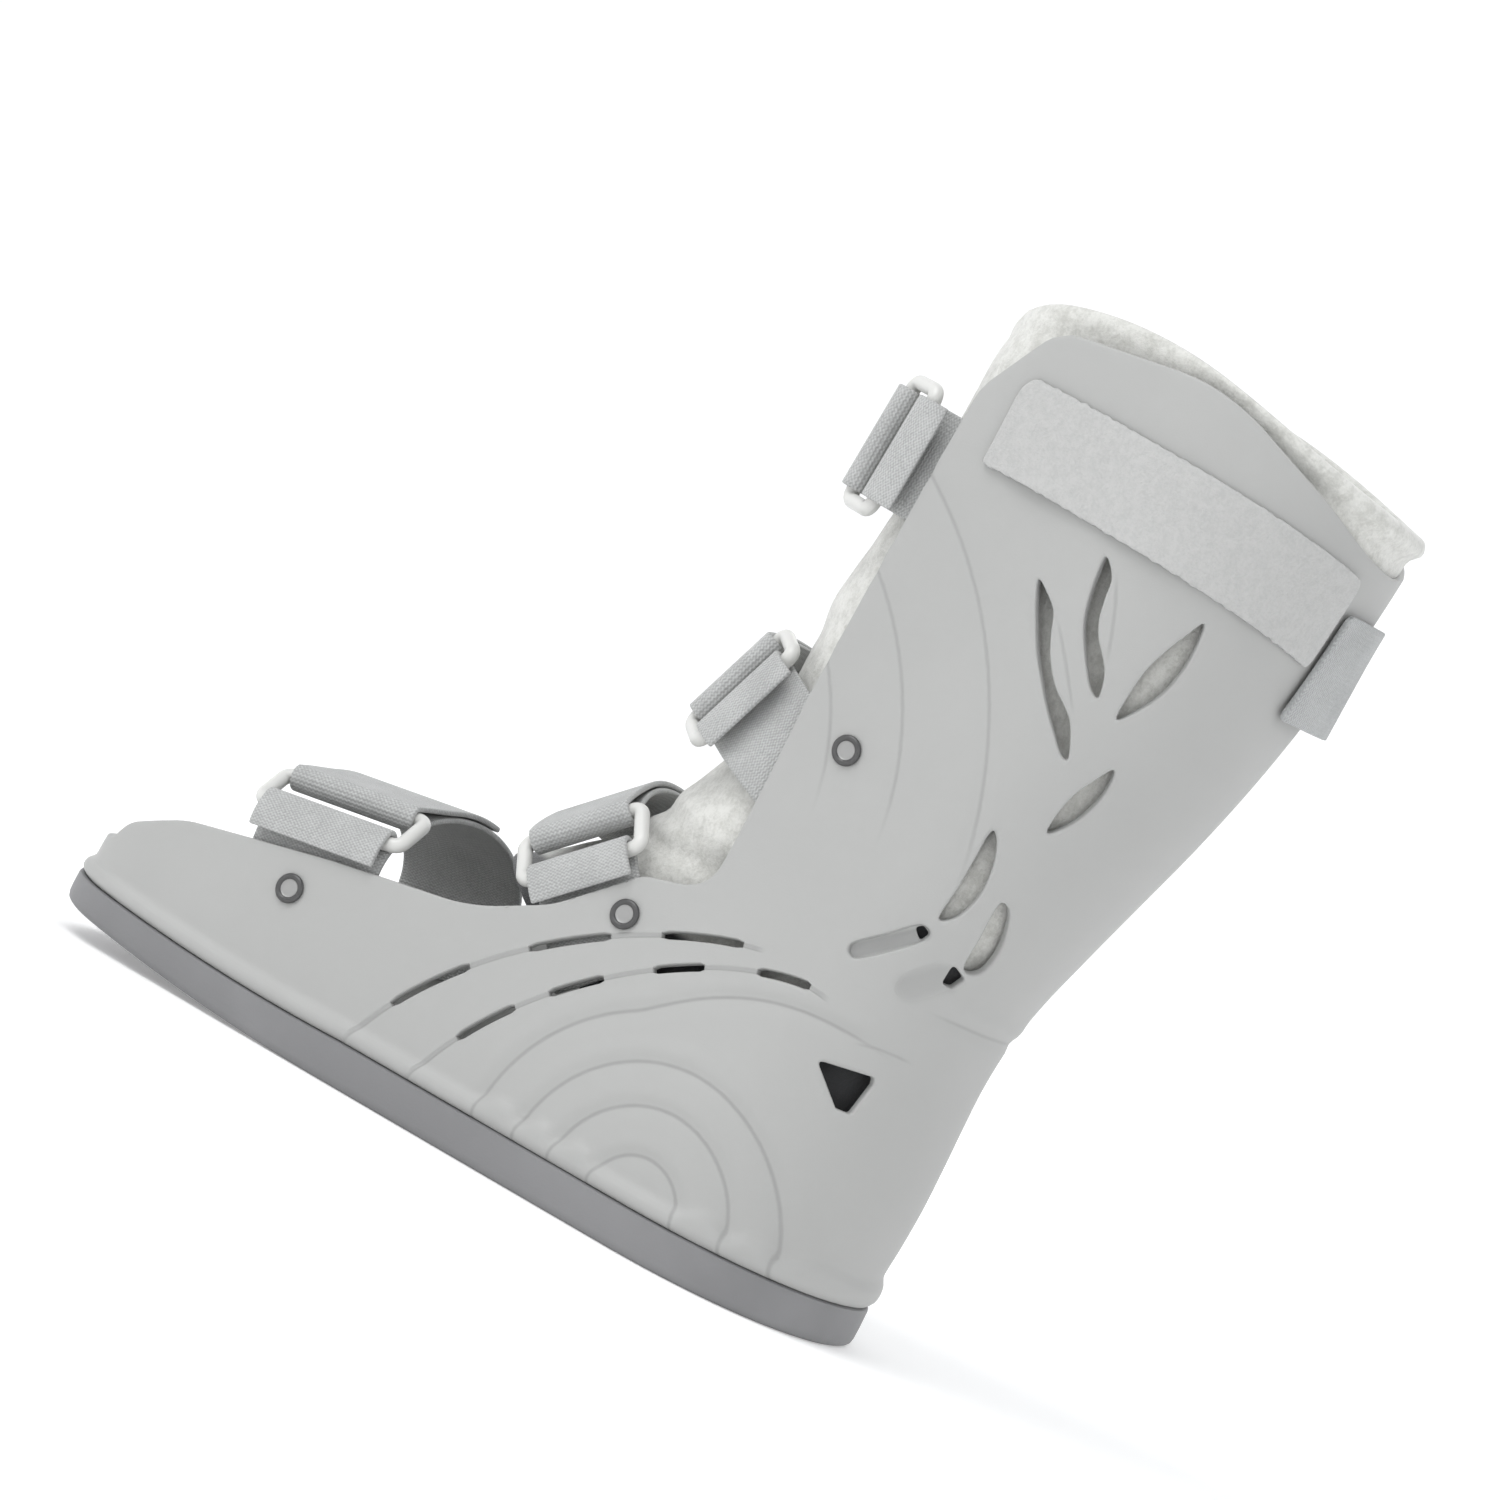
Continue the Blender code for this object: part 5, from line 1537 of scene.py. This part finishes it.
def woven(name, colour, rib):
    """Ribbed webbing: fine cross ribs over a softer weave, with a little fuzz."""
    finish = Finish(name, colour, 0.9, Sheen_Weight=0.25, Sheen_Roughness=0.5)
    run = finish.node("ShaderNodeAttribute", dict(attribute_name="run"), out="Fac")
    wide = finish.node("ShaderNodeAttribute", dict(attribute_name="wide"), out="Fac")
    ribs = run.maths("SINE", run * (2 * math.pi / rib))
    weave = wide.maths("SINE", wide * (2 * math.pi / (1.35 * rib)))
    fuzz = finish.grain(1300.0, 5.0, 0.65)
    slow = finish.grain(70.0, 3.0, 0.5)
    share = finish.ease(ribs * weave * 0.25 + fuzz + (slow - 0.5) * 0.5, 0.3, 0.75)
    finish.feed("Base Color", finish.tint(share, shaded(colour, 0.78), shaded(colour, 1.1)))
    finish.bump(ribs * 0.07 + weave * 0.05 + fuzz * 0.22 + slow * 0.3, 1.0, MM)
    return finish


webbing = woven("webbing", (0.43, 0.435, 0.43), 0.0011)
arches = {row["name"]: Arch(row) for row in STRAPS}
for row in STRAPS:
    arch = arches[row["name"]]
    band("tab_band_" + row["name"], tab_line(row, arch), arch, "tab_" + row["name"])
    band("strap_band_" + row["name"], strap_line(row, arch), arch, "strap_" + row["name"])

# %% [markdown]
# The rings are round in section and moulded in pale plastic: a rectangle with rounded corners, a little
# wider than the webbing, with a window between its two bars. A curve with a round bevel gives that at once,
# and it is turned into a mesh like every other piece.

# %% Make the rings
RING_STEPS = 8


def ring_path(row, arch):
    """The middle line of a ring's wire, once round it."""
    first, second = row["reach"], row["reach"] + RING_WINDOW
    start, end = arch.spot(first, BAND_RADIUS)[0], arch.spot(second, BAND_RADIUS)[0]
    way = (end - start).normalized()
    middle = (start + end) / 2
    half_short = (end - start).length / 2
    half_long = row["width"] / 2 + RING_WIRE + RING_SIDE_GAP
    path = []
    for sign_a, sign_b, first_turn in ((1, 1, 0), (-1, 1, 90), (-1, -1, 180), (1, -1, 270)):
        for step in range(RING_STEPS + 1):
            turn = math.radians(first_turn + 90 * step / RING_STEPS)
            a = sign_a * (half_short - RING_CORNER) + RING_CORNER * math.cos(turn)
            b = sign_b * (half_long - RING_CORNER) + RING_CORNER * math.sin(turn)
            flat = middle + way * a
            path.append(arch.place(flat.x, flat.y, b))
    return path


def wire_ring(path):
    """A closed wire along a path, made as a beveled curve and turned into a mesh."""
    curve = bpy.data.curves.new("ring", "CURVE")
    curve.dimensions = "3D"
    curve.bevel_depth = RING_WIRE
    curve.bevel_resolution = 7
    spline = curve.splines.new("POLY")
    spline.points.add(len(path) - 1)
    for point, place in zip(spline.points, path):
        point.co = (*place, 1.0)
    spline.use_cyclic_u = True
    helper = linked("ring", curve)
    graph = bpy.context.evaluated_depsgraph_get()
    mesh = bpy.data.meshes.new_from_object(helper.evaluated_get(graph))
    bm = bmesh.new()
    bm.from_mesh(mesh)
    bpy.data.objects.remove(helper, do_unlink=True)
    bmesh.ops.remove_doubles(bm, verts=bm.verts, dist=1e-6)
    bmesh.ops.recalc_face_normals(bm, faces=bm.faces)
    return bm


ring_plastic = Finish("ring plastic", (0.62, 0.62, 0.60), 0.36, Coat_Weight=0.2, Coat_Roughness=0.25)
for row in STRAPS:
    ring = wire_ring(ring_path(row, arches[row["name"]]))
    piece("ring_wire_" + row["name"], ring, [ring_plastic], "ring_" + row["name"])

# %% [markdown]
# Three rivets on each side hold the tabs and straps to the shell. Each has a rolled rim round a dished
# middle, turned here from a short profile.

# %% Make the rivets
RIVETS = [
    dict(name="toe", y=-0.717, z=0.151),
    dict(name="instep", y=-0.360, z=0.288),
    dict(name="ankle", y=-0.221, z=0.530),
]
RIVET_PROFILE = [
    (1.9, -4.6), (1.9, 0.2), (4.6, 0.3), (4.8, 0.5), (4.8, 0.8), (4.62, 1.15), (4.25, 1.42), (3.8, 1.5),
    (3.4, 1.42), (3.1, 1.2), (2.9, 0.9), (2.6, 0.72), (2.0, 0.66), (1.0, 0.72), (0.4, 0.74),
]
RIVET_SIDES = 48
RIVET_DISH = 0.0031
rivet_metal = Finish("rivet rim", (0.085, 0.085, 0.085), 0.38, Metallic=0.5)
rivet_dish = Finish("rivet dish", (0.33, 0.33, 0.325), 0.42, Metallic=0.4)


def rivet(row, side, label):
    """One rivet square to the wall. side is 1 on the left and -1 on the right."""
    y, z = row["y"] * SOLE_LENGTH, row["z"] * SHELL_HEIGHT
    point = Vector(side_place(y, z))
    normal = (Vector(side_place(y, z, 0.001)) - point).normalized()
    level = Vector((0, 0, 1)).cross(normal).normalized()
    up = normal.cross(level)
    turns = [2 * math.pi * k / RIVET_SIDES for k in range(RIVET_SIDES)]
    levels = []
    for radius, rise in RIVET_PROFILE:
        spots = []
        for turn in turns:
            arm = level * math.cos(turn) + up * math.sin(turn)
            spots.append(point + arm * radius * MM + normal * rise * MM)
        levels.append([(side * spot.x, spot.y, spot.z) for spot in spots])
    bm = bodies([levels])
    centre = Vector((side * point.x, point.y, point.z))
    for face in bm.faces:
        far = (face.calc_center_median() - centre).length
        face.material_index = 1 if far < RIVET_DISH else 0
    name = row["name"] + "_" + label
    piece("rivet_head_" + name, bm, [rivet_metal, rivet_dish], "rivet_" + name)


for row in RIVETS:
    for side, label in ((1, "left"), (-1, "right")):
        rivet(row, side, label)

# %% [markdown]
# A broad patch of loop tape is glued round the collar on the left, and the calf strap lies over its end
# at the back and goes on round the far side. Both follow the wall. The patch lifts a little along its
# lower edge and is frayed by a fraction of a millimetre. The strap stands off the wall, most at its lower
# edge, because the wall narrows below it.

# %% Make the patch and the calf strap
TAPE_COLUMNS = 180
TAPE_ROWS = 16
TAPE_LENGTH = 0.19
TAPE_WIDTH = 0.036
PATCH_THICK = 0.0016
PATCH_ENDS = [dict(walk=1.44, low=0.835, high=0.930), dict(walk=2.84, low=0.800, high=0.898)]
PATCH_BEND = 1.5
PATCH_CORNERS = [(0.0015, 0.0030), (0.0075, 0.0040)]
PATCH_RAGGED = 0.0005
PATCH_LIFTS = [(0.17, 0.09, 0.0013), (0.50, 0.10, 0.0009), (0.78, 0.06, 0.0009)]
CALF_THICK = 0.0020
CALF_FLARE = 0.0052
CALF_STAND = 0.0012
CALF_BELLY = 0.0016
CALF_CORNERS = (0.0025, 0.0025)
CALF_ENDS = [dict(walk=2.87, low=0.745, high=0.865), dict(walk=1.55, low=0.765, high=0.885)]


def between(ends, key, share):
    """A value part of the way from a tape's first end to its last."""
    return ends[0][key] + (ends[1][key] - ends[0][key]) * share


def corner_cut(run, radius):
    """How far a rounded corner cuts in from the edge, at shares of the way along. Each end has its radius."""
    cut = 0 * run
    for gap, size in ((run * TAPE_LENGTH, radius[0]), ((1 - run) * TAPE_LENGTH, radius[1])):
        inside = np.clip(size - gap, 0, size)
        cut = np.maximum(cut, size - np.sqrt(size * size - inside * inside))
    return cut


def tape(name, places, finish, node, edge):
    """A band between two faces. places(run, across) gives both faces' points for arrays of shares."""
    bm, spots = flat_grid(TAPE_COLUMNS, TAPE_ROWS)
    run = 0.6 * spots[:, 0] + 0.2 * (1 - np.cos(np.pi * spots[:, 0]))
    outer, inner = places(run, spots[:, 1])
    run_layer, wide_layer = bm.verts.layers.float.new("run"), bm.verts.layers.float.new("wide")
    for vertex, place, along, across in zip(bm.verts, outer, run, spots[:, 1]):
        vertex.co = place
        vertex[run_layer], vertex[wide_layer] = along * TAPE_LENGTH, across * TAPE_WIDTH
    walled(bm, inner)
    rounded_rim(bm, edge, segments=3)
    return piece(name, bm, [finish], node, sharp=60)


def patch_places(run, across):
    """Both faces of the loop patch, which sits on the wall."""
    bottom = between(PATCH_ENDS, "low", run ** PATCH_BEND) * SHELL_HEIGHT + corner_cut(run, PATCH_CORNERS[0])
    top = between(PATCH_ENDS, "high", run ** PATCH_BEND) * SHELL_HEIGHT - corner_cut(run, PATCH_CORNERS[1])
    frayed = [noise.noise(Vector((share * 60, side * 9, 0))) for share, side in zip(run, np.round(across))]
    ragged = np.array(frayed) * PATCH_RAGGED * np.abs(2 * across - 1) ** 6
    z = bottom + (top - bottom) * across + ragged
    lifted = np.zeros(len(run))
    for middle, reach, height in PATCH_LIFTS:
        lifted += height * np.exp(-(((run - middle) / reach) ** 2))
    lift = FIT_GAP + lifted * np.clip(1 - across / 0.35, 0, 1) ** 1.6
    walk = between(PATCH_ENDS, "walk", run)
    return wall(walk, z, lift + PATCH_THICK), wall(walk, z, lift)


def calf_places(run, across):
    """Both faces of the calf strap, which goes on over the heel's middle to the right side."""
    turn = 3 - CALF_ENDS[0]["walk"]
    gone = run * (turn + 3 - CALF_ENDS[1]["walk"])
    walk = np.where(gone <= turn, CALF_ENDS[0]["walk"] + gone, -(3 - (gone - turn)))
    bottom = between(CALF_ENDS, "low", run) * SHELL_HEIGHT + corner_cut(run, CALF_CORNERS)
    top = between(CALF_ENDS, "high", run) * SHELL_HEIGHT - corner_cut(run, CALF_CORNERS)
    z = bottom + (top - bottom) * across
    away = np.sin(np.pi * np.clip(run, 0, 1)) ** 0.7
    stand = CALF_STAND + CALF_BELLY * away + CALF_FLARE * away * (1 - across) ** 1.5
    return wall(walk, z, stand + CALF_THICK), wall(walk, z, stand)


def loop_pile():
    """Brushed loop tape: a short matted pile."""
    finish = Finish("loop cloth", (0.56, 0.56, 0.555), 0.97, Sheen_Weight=0.35, Sheen_Roughness=0.5)
    pile = finish.grain(1100.0, 6.0, 0.7)
    tufts = finish.grain(330.0, 4.0, 0.6)
    share = finish.ease(pile * 0.6 + tufts * 0.4, 0.36, 0.62)
    finish.feed("Base Color", finish.tint(share, (0.42, 0.422, 0.416), (0.475, 0.476, 0.468)))
    finish.bump(pile * 0.3 + tufts * 0.25, 1.0, MM)
    return finish


calf_webbing = woven("calf webbing", (0.40, 0.41, 0.41), 0.0012)
tape("loop_tape", patch_places, loop_pile(), "loop_patch", 0.0004)
tape("calf_band", calf_places, calf_webbing, "calf_strap", 0.0006)

# %% [markdown]
# The boot stands in a pale bowl: a flat floor that curves up all round, so that no horizon cuts the
# picture from any side. Its profile is spun once round. Big soft lamps light it evenly, as in a product
# photograph.

# %% Floor and lights
FLAT_RADIUS = 2.2
CURVE_RADIUS = 1.2
CURVE_STEPS = 12
BOWL_TOP = 3.2

floor = bmesh.new()
profile = [floor.verts.new((0.0, 0.0, 0.0))]
for step in range(CURVE_STEPS + 1):
    turn = math.radians(90 * step / CURVE_STEPS)
    rise = CURVE_RADIUS * (1 - math.cos(turn))
    profile.append(floor.verts.new((FLAT_RADIUS + CURVE_RADIUS * math.sin(turn), 0.0, rise)))
profile.append(floor.verts.new((FLAT_RADIUS + CURVE_RADIUS, 0.0, BOWL_TOP)))
edges = [floor.edges.new(ends) for ends in zip(profile, profile[1:])]
bmesh.ops.spin(
    floor, geom=profile + edges, cent=(0, 0, 0), axis=(0, 0, 1), angle=2 * math.pi, steps=96, use_merge=True,
)
bmesh.ops.remove_doubles(floor, verts=floor.verts, dist=1e-5)
bmesh.ops.recalc_face_normals(floor, faces=floor.faces)
floor_mesh = bpy.data.meshes.new("studio_floor")
floor.to_mesh(floor_mesh)
floor.free()
floor_mesh.shade_smooth()
studio = Finish(
    "studio floor", (0.86, 0.86, 0.86), 0.9, Emission_Color=(1.0, 1.0, 1.0, 1.0), Emission_Strength=0.24,
)
floor_mesh.materials.append(studio.material)
linked("studio_floor", floor_mesh)

LAMPS = [
    dict(name="key", at=(1.2, -0.6, 2.0), size=1.3, watts=24),
    dict(name="fill", at=(1.4, 1.5, 0.9), size=1.8, watts=3),
    dict(name="far", at=(-1.7, -0.2, 1.4), size=1.6, watts=5),
]
for lamp in LAMPS:
    data = bpy.data.lights.new(lamp["name"], "AREA")
    data.shape = "DISK"
    data.size = lamp["size"]
    data.energy = lamp["watts"]
    obj = linked(lamp["name"], data)
    obj.location = lamp["at"]
    obj.rotation_euler = (Vector((0, 0, 0.15)) - obj.location).to_track_quat("-Z", "Y").to_euler()
world = bpy.data.worlds.new("studio air")
world.use_nodes = True
world.node_tree.nodes["Background"].inputs["Color"].default_value = (0.95, 0.97, 1.0, 1.0)
world.node_tree.nodes["Background"].inputs["Strength"].default_value = 0.62
bpy.context.scene.world = world
bpy.context.scene.view_settings.view_transform = "Standard"
